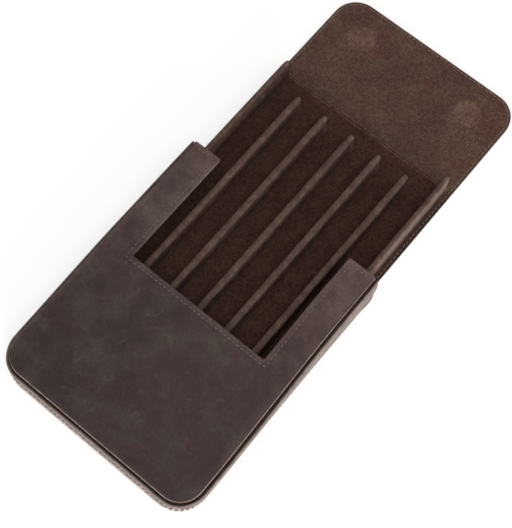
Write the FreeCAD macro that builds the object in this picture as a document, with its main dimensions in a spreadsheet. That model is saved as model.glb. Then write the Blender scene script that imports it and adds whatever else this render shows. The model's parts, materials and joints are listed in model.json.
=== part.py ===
import FreeCAD
import Part
import Sketcher
import os
import re

# A leather pen case: a flat sleeve that is open at one end, a tray with six slots
# that slides out of it, and a flap that folds over the mouth and holds by magnets.
# Millimetres, +Z up, the case lying on its back panel. The origin is on the back
# panel's underside, on the middle line, at the mouth. +Y points out of the mouth.
# The tray is drawn out and the flap lies open.

SIZES = (
    ("case_width", 140, "across the sleeve, over the swell of its two sides"),
    ("case_length", 171, "from the mouth to the swell of the closed end"),
    ("case_height", 26, "from the back panel's underside to the front panel's face"),
    ("skin_thick", 1.5, "outer leather of every panel"),
    ("lining_thick", 1.5, "lining leather of every panel"),
    ("front_swell", 3.25, "how far the gusset swells past the front panel's edge"),
    ("back_swell", 4.75, "how far the gusset swells past the seam on the back panel"),
    ("side_rim", 3.25, "the back panel's rim beyond the seam, along the sides"),
    ("end_rim", 5.25, "the back panel's rim beyond the seam, at the closed end"),
    ("rim_start", 4, "from the mouth back to where the rim begins"),
    ("rim_step", 4, "length of the slant where the rim begins"),
    ("seam_corner", 13, "radius of the gusset's seam at the closed end's corners"),
    ("back_corner", 17, "radius of the back panel's corners"),
    ("tip_width", 19.25, "width of each front tip beside the notch"),
    ("tip_corner", 2, "rounding of each tip where mouth and notch meet"),
    ("notch_depth", 77, "how far the notch reaches in from the mouth"),
    ("notch_corner", 2.5, "radius of the notch's inner corners"),
    ("gusset_thick", 1.8, "leather of the gusset"),
    ("flange_width", 3, "width of the gusset's turned-in edges"),
    ("mouth_slack", 6, "from the mouth to the first fold"),
    ("fold_lift", 1, "height of a fold's axis above the inner face"),
    ("fold_gap", 0.3, "gap in the leather at each fold"),
    ("lid_gap", 0.3, "air between the closed flap and the front panel"),
    ("lid_reach", 115.2, "how far the closed flap covers the front, from the mouth"),
    ("root_reach", 48, "how much of that is the bending root of the flap"),
    ("flap_corner", 16, "radius of the flap's free corners"),
    ("magnet_width", 17, "diameter of each disc"),
    ("magnet_thick", 1.6, "thickness of each disc"),
    ("magnet_gap", 0.1, "air round a disc in its recess"),
    ("magnet_reach", 93, "from the mouth to the discs, with the flap closed"),
    ("magnet_inset", 24.75, "from the flap's side edge to the middle of a disc"),
    ("thread_width", 0.7, "width of a row of stitches"),
    ("thread_depth", 0.35, "thickness of the thread that lies in the leather"),
    ("thread_sink", 0.05, "how far the thread lies below the leather's face"),
    ("front_row_inset", 3, "from the notch and mouth to their row of stitches"),
    ("front_row_end", 4, "from the front panel's side edge to the row's end"),
    ("seam_row_inset", 1.6, "from the gusset's seam to its row of stitches"),
    ("flap_row_inset", 1.75, "from the flap's edge to its row of stitches"),
    ("tray_out", 78, "how far the tray is drawn out"),
    ("tray_run_gap", 0.3, "air under the tray"),
    ("tray_side_gap", 0.65, "air between the tray and the gusset's lower edge"),
    ("tray_end_gap", 0.75, "air behind the tray when it is home"),
    ("rim_gap", 2.5, "air between the tray's rim and the front lining"),
    ("cover_thick", 0.6, "leather under the tray"),
    ("base_board_thick", 1, "board in the tray's floor"),
    ("floor_thick", 0.5, "suede on the tray's floor"),
    ("wrap_thick", 1, "leather folded over the tray's wall"),
    ("wall_board_thick", 1.5, "board in the tray's wall"),
    ("rim_round", 0.9, "rounding of the tray's rim"),
    ("wall_end_round", 1.6, "rounding of the wall's ends, seen from above"),
    ("slot_count", 6, "slots in the tray"),
    ("divider_width", 4, "width of a divider"),
    ("divider_foot", 0.6, "flare of a divider's foot, on each side"),
    ("divider_foot_height", 2, "height of the flared foot"),
    ("divider_height", 12.5, "height of a divider above the floor"),
    ("divider_inset", 14.5, "from the tray's open end to the dividers' points"),
    ("divider_taper", 9, "length of a divider's pointed end"),
    ("divider_nose", 1, "width of a divider's point"),
    ("divider_nose_height", 11, "height of a divider's point"),
    ("core_width", 1.2, "board inside a divider"),
    ("core_cover", 1.5, "leather over that board"),
    ("core_inset", 3, "from the start of the taper back to the board's end"),
)

doc = FreeCAD.newDocument("pen_case")
sheet = doc.addObject("Spreadsheet::Sheet", "Sizes")
for row, (word, size, note) in enumerate(SIZES, start=1):
    sheet.set("A%d" % row, note)
    sheet.set("B%d" % row, str(size))
    sheet.setAlias("B%d" % row, word)
doc.recompute()

WORDS = {word for word, size, note in SIZES}

# Millimetres within which two points are one, and the least that a cut takes away.
SAME_PLACE = 1e-4
LEAST_CUT = 1e-6

# Places that several pieces share, as expressions in the sheet's words.
PANEL = "(skin_thick + lining_thick)"
FRONT_HALF = "(case_width / 2 - front_swell)"
FRONT_END = "(case_length - front_swell)"
FRONT_CORNER = "(seam_corner + back_swell - front_swell)"
NOTCH_HALF = "(%s - tip_width)" % FRONT_HALF
SEAM_HALF = "(case_width / 2 - back_swell)"
SEAM_END = "(case_length - back_swell)"
BACK_END = "(%s + end_rim)" % SEAM_END
RIM_HALF = "(%s + side_rim)" % SEAM_HALF
FRONT_UNDER = "(case_height - %s)" % PANEL
SPINE_LENGTH = "(case_height + lid_gap - %s - 2 * fold_lift)" % PANEL
FOLD_FRONT = "(mouth_slack + %s)" % SPINE_LENGTH
MIRROR_LINE = "(2 * mouth_slack + %s)" % SPINE_LENGTH
FLAP_START = "(%s + root_reach)" % MIRROR_LINE
FLAP_END = "(%s + lid_reach)" % MIRROR_LINE
TRAY_HALF = "(%s - flange_width - tray_side_gap)" % SEAM_HALF
TRAY_END = "(%s - flange_width - tray_end_gap)" % SEAM_END
TRAY_CORNER = "(seam_corner - flange_width - tray_side_gap)"
TRAY_UNDER = "(%s + tray_run_gap)" % PANEL
BOARD_UNDER = "(%s + cover_thick)" % TRAY_UNDER
FLOOR_UNDER = "(%s + base_board_thick)" % BOARD_UNDER
FLOOR_TOP = "(%s + floor_thick)" % FLOOR_UNDER
RIM = "(%s - rim_gap)" % FRONT_UNDER
WALL = "(2 * wrap_thick + wall_board_thick)"


def bound(text):
    """The expression as another object reads it from the sheet."""

    def from_sheet(hit):
        word = hit.group()
        return "Sizes." + word if word in WORDS else word

    return re.sub(r"[a-z_]+", from_sheet, text)


def bind(item, name, text):
    item.setExpression(name, bound(text))


def value(text):
    """What the expression comes to now."""
    return float(sheet.evalExpression(text))


def volume(body):
    doc.recompute()
    return body.Shape.Volume


def new_body(label, level="0", along="0", across="0"):
    """An empty body, with its own frame at this place in the case's frame."""
    body = doc.addObject("PartDesign::Body", label)
    body.Label = label
    body.AllowCompound = True
    bind(body, "Placement.Base.x", across)
    bind(body, "Placement.Base.y", along)
    bind(body, "Placement.Base.z", level)
    return body


def new_sketch(body, name, plane="XY_Plane", lift="0"):
    """A sketch on one of the body's own planes, lifted off it along the plane's normal."""
    sketch = body.newObject("Sketcher::SketchObject", body.Label + "_" + name)
    support = [item for item in body.Origin.OriginFeatures if item.Role == plane]
    sketch.AttachmentSupport = [(support[0], "")]
    sketch.MapMode = "FlatFace"
    bind(sketch, "AttachmentOffset.Base.z", lift)
    return sketch


def pin_point(sketch, part, end, across, along):
    """Holds one end of a line, or a centre, at a place given by two expressions."""
    for kind, text in (("DistanceX", across), ("DistanceY", along)):
        index = sketch.addConstraint(Sketcher.Constraint(kind, -1, 1, part, end, value(text)))
        bind(sketch, "Constraints[%d]" % index, text)


def direction(start, finish):
    """+1, 0 or -1 along each axis, for a side that runs along one of them."""
    return tuple((b - a > SAME_PLACE) - (a - b > SAME_PLACE) for a, b in zip(start, finish))


def moved(text, step, radius):
    """The expression, moved by the radius one way, the other way or not at all."""
    signs = {1: "+", -1: "-"}
    return "%s %s (%s)" % (text, signs[step], radius) if step else text


def end_at(sketch, side, spot):
    """Which end of this side is at this spot, as a constraint counts them."""
    return 1 if sketch.getPoint(side, 1).distanceToPoint(spot) < SAME_PLACE else 2


def join_arc(sketch, before, after, through, radius):
    """An arc of this radius through three points, from the end of a side to the next one's start."""
    arc = sketch.addGeometry(Part.Arc(*through))
    first = end_at(sketch, arc, through[0])
    sketch.addConstraint(Sketcher.Constraint("Coincident", before, 2, arc, first))
    sketch.addConstraint(Sketcher.Constraint("Coincident", arc, 3 - first, after, 1))
    rule = sketch.addConstraint(Sketcher.Constraint("Radius", arc, value(radius)))
    bind(sketch, "Constraints[%d]" % rule, radius)


def pin_chain(sketch, sides, corners, spots):
    """Joins the sides of a closed outline, and holds each corner at its two expressions."""
    for index, (across, level) in enumerate(corners):
        arriving = sides[index - 1]
        leaving = sides[index]
        leave_end = end_at(sketch, leaving, spots[index])
        arrive_end = end_at(sketch, arriving, spots[index])
        pin_point(sketch, leaving, leave_end, across, level)
        sketch.addConstraint(Sketcher.Constraint("Coincident", arriving, arrive_end, leaving, leave_end))


def outline(sketch, corners):
    """A closed outline. A corner is (across, along) or (across, along, radius); a rounded
    corner joins two sides that run along the axes."""
    places = [FreeCAD.Vector(value(corner[0]), value(corner[1]), 0) for corner in corners]
    count = len(corners)
    starts = []
    ends = []
    rounds = {}
    for index, corner in enumerate(corners):
        here = (places[index].x, places[index].y)
        before = (places[index - 1].x, places[index - 1].y)
        after = (places[(index + 1) % count].x, places[(index + 1) % count].y)
        if len(corner) == 2:
            starts.append(corner)
            ends.append(corner)
            continue
        across, along, radius = corner
        back = direction(here, before)
        ahead = direction(here, after)
        arrive = (moved(across, back[0], radius), moved(along, back[1], radius))
        leave = (moved(across, ahead[0], radius), moved(along, ahead[1], radius))
        ends.append(arrive)
        starts.append(leave)
        centre = FreeCAD.Vector(here[0] + (back[0] + ahead[0]) * value(radius),
                                here[1] + (back[1] + ahead[1]) * value(radius), 0)
        rounds[index] = (centre, radius)

    def place(pair):
        return FreeCAD.Vector(value(pair[0]), value(pair[1]), 0)

    sides = []
    for index in range(count):
        after = (index + 1) % count
        side = sketch.addGeometry(Part.LineSegment(place(starts[index]), place(ends[after])))
        if index in rounds or index == 0:
            pin_point(sketch, side, 1, *starts[index])
        else:
            sketch.addConstraint(Sketcher.Constraint("Coincident", sides[-1], 2, side, 1))
        if after == 0 and after not in rounds:
            sketch.addConstraint(Sketcher.Constraint("Coincident", side, 2, sides[0], 1))
        else:
            pin_point(sketch, side, 2, *ends[after])
        sides.append(side)
    for index, (centre, radius) in rounds.items():
        arrive = place(ends[index])
        leave = place(starts[index])
        middle = centre + (places[index] - centre).normalize() * value(radius)
        join_arc(sketch, sides[index - 1], sides[index], (arrive, middle, leave), radius)


def circle(sketch, across, along, diameter):
    centre = FreeCAD.Vector(value(across), value(along), 0)
    ring = sketch.addGeometry(Part.Circle(centre, FreeCAD.Vector(0, 0, 1), value(diameter) / 2))
    pin_point(sketch, ring, 3, across, along)
    rule = sketch.addConstraint(Sketcher.Constraint("Diameter", ring, value(diameter)))
    bind(sketch, "Constraints[%d]" % rule, diameter)


def pad(body, sketch, length, down=False):
    feature = body.newObject("PartDesign::Pad", sketch.Label + "_pad")
    feature.Profile = sketch
    bind(feature, "Length", length)
    feature.Reversed = down
    return feature


def cut(body, sketch, depth, up=False):
    """Cuts the sketch's outline away, down from its plane or up from it."""
    before = volume(body)
    feature = body.newObject("PartDesign::Pocket", sketch.Label + "_cut")
    feature.Profile = sketch
    bind(feature, "Length", depth)
    feature.Reversed = up
    if volume(body) > before - LEAST_CUT:
        raise RuntimeError(sketch.Label + " cuts nothing")
    return feature


def plate(label, corners, thickness, level, along="0"):
    """A flat layer with this outline, its underside at this level."""
    body = new_body(label, level, along)
    sketch = new_sketch(body, "outline")
    outline(sketch, corners)
    pad(body, sketch, thickness)
    return body


def upright_edges(shape, spots):
    """Names of the vertical edges that stand at these places."""
    names = []
    for index, edge in enumerate(shape.Edges, start=1):
        low, high = edge.Vertexes[0].Point, edge.Vertexes[-1].Point
        if abs(low.x - high.x) > SAME_PLACE or abs(low.y - high.y) > SAME_PLACE:
            continue
        if any(abs(low.x - spot[0]) < SAME_PLACE and abs(low.y - spot[1]) < SAME_PLACE for spot in spots):
            names.append("Edge%d" % index)
    return names


def fillet(body, base, names, radius):
    feature = body.newObject("PartDesign::Fillet", body.Label + "_fillet_%d" % len(body.Group))
    feature.Base = (base, names)
    bind(feature, "Radius", radius)
    return feature


# Outlines, each as corners in order round the piece.


def front_outline():
    """The front panel, with its notch at the mouth."""
    right = ["(%s)" % NOTCH_HALF, "(%s)" % FRONT_HALF]
    left = ["-" + text for text in right]
    return [
        (left[1], "0"),
        (left[0], "0", "tip_corner"),
        (left[0], "-notch_depth", "notch_corner"),
        (right[0], "-notch_depth", "notch_corner"),
        (right[0], "0", "tip_corner"),
        (right[1], "0"),
        (right[1], "-" + FRONT_END, FRONT_CORNER),
        (left[1], "-" + FRONT_END, FRONT_CORNER),
    ]


def back_outline(mouth_end):
    """The back panel. Its rim runs out near the mouth, and it is as wide as the flap from there."""
    full = "-(rim_start + rim_step)"
    return [
        ("-" + SEAM_HALF, mouth_end),
        (SEAM_HALF, mouth_end),
        (SEAM_HALF, "-rim_start"),
        (RIM_HALF, full),
        (RIM_HALF, "-" + BACK_END, "back_corner"),
        ("-" + RIM_HALF, "-" + BACK_END, "back_corner"),
        ("-" + RIM_HALF, full),
        ("-" + SEAM_HALF, "-rim_start"),
    ]


def block_outline(half, low, high, low_corner=None, high_corner=None):
    """A rectangle about the middle line, with its low or high pair of corners rounded."""
    low_round = () if low_corner is None else (low_corner,)
    high_round = () if high_corner is None else (high_corner,)
    return [
        ("-" + half, high) + high_round,
        (half, high) + high_round,
        (half, low) + low_round,
        ("-" + half, low) + low_round,
    ]


def band_outline(half, end, mouth, corner, outer, inner, sign="-"):
    """A U that follows a seam: two sides and an end, between two insets from the seam."""
    far = "%s(%s - (%s))"
    return [
        ("-(%s - (%s))" % (half, outer), mouth),
        ("-(%s - (%s))" % (half, inner), mouth),
        ("-(%s - (%s))" % (half, inner), far % (sign, end, inner), "(%s - (%s))" % (corner, inner)),
        ("(%s - (%s))" % (half, inner), far % (sign, end, inner), "(%s - (%s))" % (corner, inner)),
        ("(%s - (%s))" % (half, inner), mouth),
        ("(%s - (%s))" % (half, outer), mouth),
        ("(%s - (%s))" % (half, outer), far % (sign, end, outer), "(%s - (%s))" % (corner, outer)),
        ("-(%s - (%s))" % (half, outer), far % (sign, end, outer), "(%s - (%s))" % (corner, outer)),
    ]


def row_edges(inset):
    """The two edges of a row of stitches whose middle is this far in."""
    return "(%s - thread_width / 2)" % inset, "(%s + thread_width / 2)" % inset


def front_row():
    """The row round the notch and along both tips."""
    near, far = row_edges("front_row_inset")
    tip = "(%s - front_row_end)" % FRONT_HALF
    side = "(%s + %s)"
    notch_near = side % (NOTCH_HALF, near)
    notch_far = side % (NOTCH_HALF, far)
    deep_near = "-" + side % ("notch_depth", near)
    deep_far = "-" + side % ("notch_depth", far)
    near_round = side % ("notch_corner", near)
    far_round = side % ("notch_corner", far)
    return [
        ("-" + tip, "-" + near),
        ("-" + notch_near, "-" + near),
        ("-" + notch_near, deep_near, near_round),
        (notch_near, deep_near, near_round),
        (notch_near, "-" + near),
        (tip, "-" + near),
        (tip, "-" + far),
        (notch_far, "-" + far),
        (notch_far, deep_far, far_round),
        ("-" + notch_far, deep_far, far_round),
        ("-" + notch_far, "-" + far),
        ("-" + tip, "-" + far),
    ]


def seam_row(inset):
    """A row of stitches that follows the gusset's seam."""
    near, far = row_edges(inset)
    return [band_outline(SEAM_HALF, SEAM_END, "0", "seam_corner", near, far)]


def side_rows(low, high):
    """Two straight rows, one along each edge of the flap's leather."""
    near, far = row_edges("flap_row_inset")
    inner = "(%s - %s)" % (SEAM_HALF, far)
    outer = "(%s - %s)" % (SEAM_HALF, near)
    return [
        [(inner, low), (outer, low), (outer, high), (inner, high)],
        [("-" + outer, low), ("-" + inner, low), ("-" + inner, high), ("-" + outer, high)],
    ]


def flap_row():
    """The row round the flap's free edge."""
    near, far = row_edges("flap_row_inset")
    return [band_outline(SEAM_HALF, FLAP_END, FLAP_START, "flap_corner", near, far, sign="")]


GROOVE = "(thread_depth + thread_sink)"


def stitches(label, rows, faces):
    """Thread that lies in the leather. A face is (level, up): up for a face that looks up."""
    body = new_body(label)
    for number, (level, up) in enumerate(faces):
        sketch = new_sketch(body, "row_%d" % number, lift="%s %s thread_sink" % (level, "-" if up else "+"))
        for corners in rows:
            outline(sketch, corners)
        pad(body, sketch, "thread_depth", down=up)
    return body


def groove(body, name, rows, level="0", up=False):
    """The groove for such a row, at a level in the body's own frame. A face that looks up
    is cut downwards, and one that looks down is cut upwards."""
    sketch = new_sketch(body, name, lift=level)
    for corners in rows:
        outline(sketch, corners)
    cut(body, sketch, GROOVE, up=not up)


def recess(body, places, level="0", from_below=False):
    """Half the depth of a disc, sunk into one layer at each place."""
    sketch = new_sketch(body, "recess", lift=level)
    for across, along in places:
        circle(sketch, across, along, "(magnet_width + 2 * magnet_gap)")
    cut(body, sketch, "(magnet_thick / 2)", up=from_below)


def disc(label, across, along, level):
    magnet = doc.addObject("Part::Cylinder", label)
    magnet.Label = label
    bind(magnet, "Radius", "magnet_width / 2")
    bind(magnet, "Height", "magnet_thick")
    bind(magnet, "Placement.Base.x", across)
    bind(magnet, "Placement.Base.y", along)
    bind(magnet, "Placement.Base.z", "%s - magnet_thick / 2" % level)
    return magnet


MAGNET_RIGHT = "(%s - magnet_inset)" % SEAM_HALF
MAGNET_LEFT = "-" + MAGNET_RIGHT
FRONT_MAGNETS = [(MAGNET_LEFT, "-magnet_reach"), (MAGNET_RIGHT, "-magnet_reach")]
FLAP_MAGNET_ALONG = "(%s + magnet_reach)" % MIRROR_LINE
FLAP_MAGNETS = [(MAGNET_LEFT, FLAP_MAGNET_ALONG), (MAGNET_RIGHT, FLAP_MAGNET_ALONG)]

pieces = []

# The sleeve's front panel. The lining lies below the skin, and a pair of discs lies
# between them, half of each disc in each layer.

front_lining = plate("front_lining", front_outline(), "lining_thick", FRONT_UNDER)
groove(front_lining, "thread", [front_row()])
recess(front_lining, FRONT_MAGNETS, level="lining_thick")

front_skin = plate("front_skin", front_outline(), "skin_thick", "(%s + lining_thick)" % FRONT_UNDER)
groove(front_skin, "thread", [front_row()], level="skin_thick", up=True)
recess(front_skin, FRONT_MAGNETS, from_below=True)

front_stitching = stitches("front_stitching", [front_row()], [("case_height", True), (FRONT_UNDER, False)])
FRONT_DISC_LEVEL = "(%s + lining_thick)" % FRONT_UNDER
pieces += [front_lining, front_skin, front_stitching]
pieces.append(disc("front_magnet_left", MAGNET_LEFT, "-magnet_reach", FRONT_DISC_LEVEL))
pieces.append(disc("front_magnet_right", MAGNET_RIGHT, "-magnet_reach", FRONT_DISC_LEVEL))

# The gusset: a strip whose section swells outwards between two turned-in edges, carried
# along one side, round the closed end and back along the other side.

gusset = new_body("gusset")
path = new_sketch(gusset, "seam")
turn_start = "-(%s - seam_corner)" % SEAM_END
turn_side = "(%s - seam_corner)" % SEAM_HALF
runs = (
    ((SEAM_HALF, "0"), (SEAM_HALF, turn_start)),
    ((turn_side, "-" + SEAM_END), ("-" + turn_side, "-" + SEAM_END)),
    (("-" + SEAM_HALF, turn_start), ("-" + SEAM_HALF, "0")),
)
lines = []
for start, finish in runs:
    begin = FreeCAD.Vector(value(start[0]), value(start[1]), 0)
    stop = FreeCAD.Vector(value(finish[0]), value(finish[1]), 0)
    line = path.addGeometry(Part.LineSegment(begin, stop))
    pin_point(path, line, 1, *start)
    pin_point(path, line, 2, *finish)
    lines.append(line)
for before, after in zip(lines, lines[1:]):
    begin = path.getPoint(before, 2)
    stop = path.getPoint(after, 1)
    side = 1 if begin.x > 0 else -1
    centre = FreeCAD.Vector(side * value(turn_side), value(turn_start), 0)
    corner = FreeCAD.Vector(side * value(SEAM_HALF), -value(SEAM_END), 0)
    middle = centre + (corner - centre).normalize() * value("seam_corner")
    join_arc(path, before, after, (begin, middle, stop), "seam_corner")

section = new_sketch(gusset, "section", plane="XZ_Plane")
FLANGE_IN = "(%s - flange_width)" % SEAM_HALF
LOW_IN = "(%s + gusset_thick)" % PANEL
HIGH_IN = "(%s - gusset_thick)" % FRONT_UNDER
stations = (
    (FLANGE_IN, PANEL),
    (SEAM_HALF, PANEL),
    (FRONT_HALF, FRONT_UNDER),
    (FLANGE_IN, FRONT_UNDER),
    (FLANGE_IN, HIGH_IN),
    (SEAM_HALF, HIGH_IN),
    (SEAM_HALF, LOW_IN),
    (FLANGE_IN, LOW_IN),
)
bows = {1: "(case_width / 2)", 5: "(case_width / 2 - gusset_thick)"}
points = [FreeCAD.Vector(value(across), value(level), 0) for across, level in stations]
edges = []
for index, point in enumerate(points):
    after = points[(index + 1) % len(points)]
    if index in bows:
        swell = FreeCAD.Vector(value(bows[index]), value("case_height / 2"), 0)
        edge = section.addGeometry(Part.Arc(point, swell, after))
        mark = section.addGeometry(Part.Point(swell), True)
        pin_point(section, mark, 1, bows[index], "case_height / 2")
        section.addConstraint(Sketcher.Constraint("PointOnObject", mark, 1, edge))
    else:
        edge = section.addGeometry(Part.LineSegment(point, after))
    edges.append(edge)
pin_chain(section, edges, stations, points)
doc.recompute()
strip = gusset.newObject("PartDesign::AdditivePipe", "gusset_strip")
strip.Profile = section
strip.Spine = (path, [])
groove(gusset, "seam_thread", seam_row("seam_row_inset"), level=HIGH_IN)
groove(gusset, "rim_thread", seam_row("seam_row_inset"), level=LOW_IN, up=True)
pieces.append(gusset)
pieces.append(stitches("front_seam", seam_row("seam_row_inset"), [(HIGH_IN, False)]))

# The back panel, which ends just past the mouth at the first fold. A rim of it stands out
# beyond the gusset's seam.

back_shape = back_outline("(mouth_slack - fold_gap / 2)")
back_skin = plate("back_skin", back_shape, "skin_thick", "0")
groove(back_skin, "thread", seam_row("seam_row_inset"))
back_lining = plate("back_lining", back_shape, "lining_thick", "skin_thick")
rim_stitching = stitches("rim_stitching", seam_row("seam_row_inset"), [("0", False), (LOW_IN, True)])
pieces += [back_skin, back_lining, rim_stitching]

# The spine and the flap's root: the leather between the two folds, which stands up across
# the mouth when the case is shut, and the bending stretch beyond the second fold.

SPINE_LOW = "(mouth_slack + fold_gap / 2)"
SPINE_HIGH = "(%s - fold_gap / 2)" % FOLD_FRONT
ROOT_LOW = "(%s + fold_gap / 2)" % FOLD_FRONT
for name, low, high in (("spine", SPINE_LOW, SPINE_HIGH), ("flap_root", ROOT_LOW, FLAP_START)):
    shape = block_outline(SEAM_HALF, low, high)
    rows = side_rows(low, high)
    skin = plate(name + "_skin", shape, "skin_thick", "0")
    groove(skin, "thread", rows)
    lining = plate(name + "_lining", shape, "lining_thick", "skin_thick")
    groove(lining, "thread", rows, level="lining_thick", up=True)
    pieces += [skin, lining, stitches(name + "_stitching", rows, [("0", False), (PANEL, True)])]

# The rest of the flap, with rounded free corners and its own pair of discs.

flap_shape = block_outline(SEAM_HALF, FLAP_START, FLAP_END, high_corner="flap_corner")
flap_skin = plate("flap_skin", flap_shape, "skin_thick", "0")
groove(flap_skin, "thread", flap_row())
recess(flap_skin, FLAP_MAGNETS, level="skin_thick")
flap_lining = plate("flap_lining", flap_shape, "lining_thick", "skin_thick")
groove(flap_lining, "thread", flap_row(), level="lining_thick", up=True)
recess(flap_lining, FLAP_MAGNETS, from_below=True)
flap_stitching = stitches("flap_stitching", flap_row(), [("0", False), (PANEL, True)])
pieces += [flap_skin, flap_lining, flap_stitching]
pieces.append(disc("flap_magnet_left", MAGNET_LEFT, FLAP_MAGNET_ALONG, "skin_thick"))
pieces.append(disc("flap_magnet_right", MAGNET_RIGHT, FLAP_MAGNET_ALONG, "skin_thick"))

# The tray, drawn in its home place and carried out along +Y by its placement. Its deep
# corners follow the gusset's, and its mouth end is flush with the sleeve's when home.

BOARD_HALF = "(%s - wrap_thick)" % TRAY_HALF
BOARD_END = "(%s - wrap_thick)" % TRAY_END
BOARD_CORNER = "(%s - wrap_thick)" % TRAY_CORNER
FLOOR_HALF = "(%s - %s)" % (TRAY_HALF, WALL)
FLOOR_END = "(%s - %s)" % (TRAY_END, WALL)
FLOOR_CORNER = "(%s - %s)" % (TRAY_CORNER, WALL)

tray_cover = plate(
    "tray_cover", block_outline(TRAY_HALF, "-" + TRAY_END, "0", low_corner=TRAY_CORNER),
    "cover_thick", TRAY_UNDER, "tray_out")
lip = new_sketch(tray_cover, "lip", lift="cover_thick")
outline(lip, block_outline(BOARD_HALF, "-wrap_thick", "0"))
pad(tray_cover, lip, "base_board_thick")

tray_base_board = plate(
    "tray_base_board", block_outline(BOARD_HALF, "-" + BOARD_END, "-wrap_thick", low_corner=BOARD_CORNER),
    "base_board_thick", BOARD_UNDER, "tray_out")

tray_floor_lining = plate(
    "tray_floor_lining", block_outline(FLOOR_HALF, "-" + FLOOR_END, "0", low_corner=FLOOR_CORNER),
    "floor_thick", FLOOR_UNDER, "tray_out")

WALL_BOARD_HEIGHT = "(%s - wrap_thick - %s)" % (RIM, FLOOR_UNDER)
wall_board_shape = band_outline(
    TRAY_HALF, TRAY_END, "-wrap_thick", TRAY_CORNER, "wrap_thick", "(wrap_thick + wall_board_thick)")
tray_wall_board = plate("tray_wall_board", wall_board_shape, WALL_BOARD_HEIGHT, FLOOR_UNDER, "tray_out")

wall_shape = band_outline(TRAY_HALF, TRAY_END, "0", TRAY_CORNER, "0", WALL)
WALL_HEIGHT = "(%s - %s)" % (RIM, BOARD_UNDER)
tray_wall_wrap = plate("tray_wall_wrap", wall_shape, WALL_HEIGHT, BOARD_UNDER, "tray_out")
doc.recompute()
half = value(TRAY_HALF)
inner = value(FLOOR_HALF)
out = value("tray_out")
shape = tray_wall_wrap.Shape
end_edges = upright_edges(shape, [(side * across, out) for side in (-1, 1) for across in (half, inner)])
ends = fillet(tray_wall_wrap, tray_wall_wrap.Tip, end_edges, "wall_end_round")
doc.recompute()
shape = tray_wall_wrap.Shape
top = value(RIM)
rim_edges = ["Edge%d" % (index + 1) for index, edge in enumerate(shape.Edges)
             if all(abs(vertex.Point.z - top) < SAME_PLACE for vertex in edge.Vertexes)]
fillet(tray_wall_wrap, ends, rim_edges, "rim_round")
foot = new_sketch(tray_wall_wrap, "foot")
outline(foot, block_outline(BOARD_HALF, "-" + BOARD_END, "(2 * wrap_thick)", low_corner=BOARD_CORNER))
cut(tray_wall_wrap, foot, "base_board_thick", up=True)
slot = new_sketch(tray_wall_wrap, "board_slot", lift="base_board_thick")
outline(slot, wall_board_shape)
cut(tray_wall_wrap, slot, WALL_BOARD_HEIGHT, up=True)
pieces += [tray_cover, tray_base_board, tray_floor_lining, tray_wall_board, tray_wall_wrap]

# The dividers: leather folded over a strip of board, with a flared foot, a round top and
# a pointed end that slopes down to the floor.

DIVIDER_LOW = "-" + FLOOR_END
DIVIDER_HIGH = "-divider_inset"
TAPER_START = "(%s - divider_taper)" % DIVIDER_HIGH
CORE_STOP = "(%s - core_inset)" % TAPER_START
HALF_FOOT = "(divider_width / 2 + divider_foot)"
HALF_RIDGE = "(divider_width / 2)"
RIDGE_TOP = "(divider_height - divider_width / 2)"
PITCH = "((2 * %s + divider_width) / slot_count)" % FLOOR_HALF


def divider_section(sketch):
    """Flared foot, straight flanks and a half-round top."""
    foot_right = (HALF_FOOT, "0")
    neck_right = (HALF_RIDGE, "divider_foot_height")
    top_right = (HALF_RIDGE, RIDGE_TOP)
    corners = [foot_right, neck_right, top_right]
    corners += [("-" + across, level) for across, level in reversed(corners)]
    spots = [FreeCAD.Vector(value(across), value(level), 0) for across, level in corners]
    sides = []
    for index, spot in enumerate(spots):
        after = spots[(index + 1) % len(spots)]
        if index == 2:
            crown = FreeCAD.Vector(0, value("divider_height"), 0)
            sides.append(sketch.addGeometry(Part.Arc(spot, crown, after)))
        else:
            sides.append(sketch.addGeometry(Part.LineSegment(spot, after)))
    pin_chain(sketch, sides, corners, spots)
    rule = sketch.addConstraint(Sketcher.Constraint("DistanceY", -1, 1, sides[2], 3, value(RIDGE_TOP)))
    bind(sketch, "Constraints[%d]" % rule, RIDGE_TOP)


for number in range(1, int(value("slot_count"))):
    across = "((%d - slot_count / 2) * %s)" % (number, PITCH)
    divider = new_body("divider_%d" % number, FLOOR_TOP, "tray_out", across)
    ridge = new_sketch(divider, "section", plane="XZ_Plane", lift="-(%s)" % DIVIDER_HIGH)
    divider_section(ridge)
    pad(divider, ridge, "(%s - %s)" % (DIVIDER_HIGH, DIVIDER_LOW))
    for name, sign in (("right", ""), ("left", "-")):
        wedge = new_sketch(divider, "taper_" + name)
        nose = (sign + "(divider_nose / 2)", DIVIDER_HIGH)
        outer = (sign + HALF_FOOT, DIVIDER_HIGH)
        start = (sign + HALF_FOOT, TAPER_START)
        outline(wedge, [nose, outer, start])
        cut(divider, wedge, "divider_height", up=True)
    slope = new_sketch(divider, "slope", plane="YZ_Plane", lift="-" + HALF_FOOT)
    outline(slope, [(DIVIDER_HIGH, "divider_nose_height"), (DIVIDER_HIGH, "divider_height"),
                    (TAPER_START, "divider_height")])
    cut(divider, slope, "(2 * %s)" % HALF_FOOT, up=True)
    pocket = new_sketch(divider, "core_slot")
    outline(pocket, block_outline("(core_width / 2)", DIVIDER_LOW, CORE_STOP))
    cut(divider, pocket, "(divider_height - core_cover)", up=True)
    core = doc.addObject("Part::Box", "divider_core_%d" % number)
    core.Label = "divider_core_%d" % number
    bind(core, "Length", "core_width")
    bind(core, "Width", "%s - %s" % (CORE_STOP, DIVIDER_LOW))
    bind(core, "Height", "divider_height - core_cover")
    bind(core, "Placement.Base.x", "%s - core_width / 2" % across)
    bind(core, "Placement.Base.y", "%s + tray_out" % DIVIDER_LOW)
    bind(core, "Placement.Base.z", FLOOR_TOP)
    pieces += [divider, core]

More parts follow.
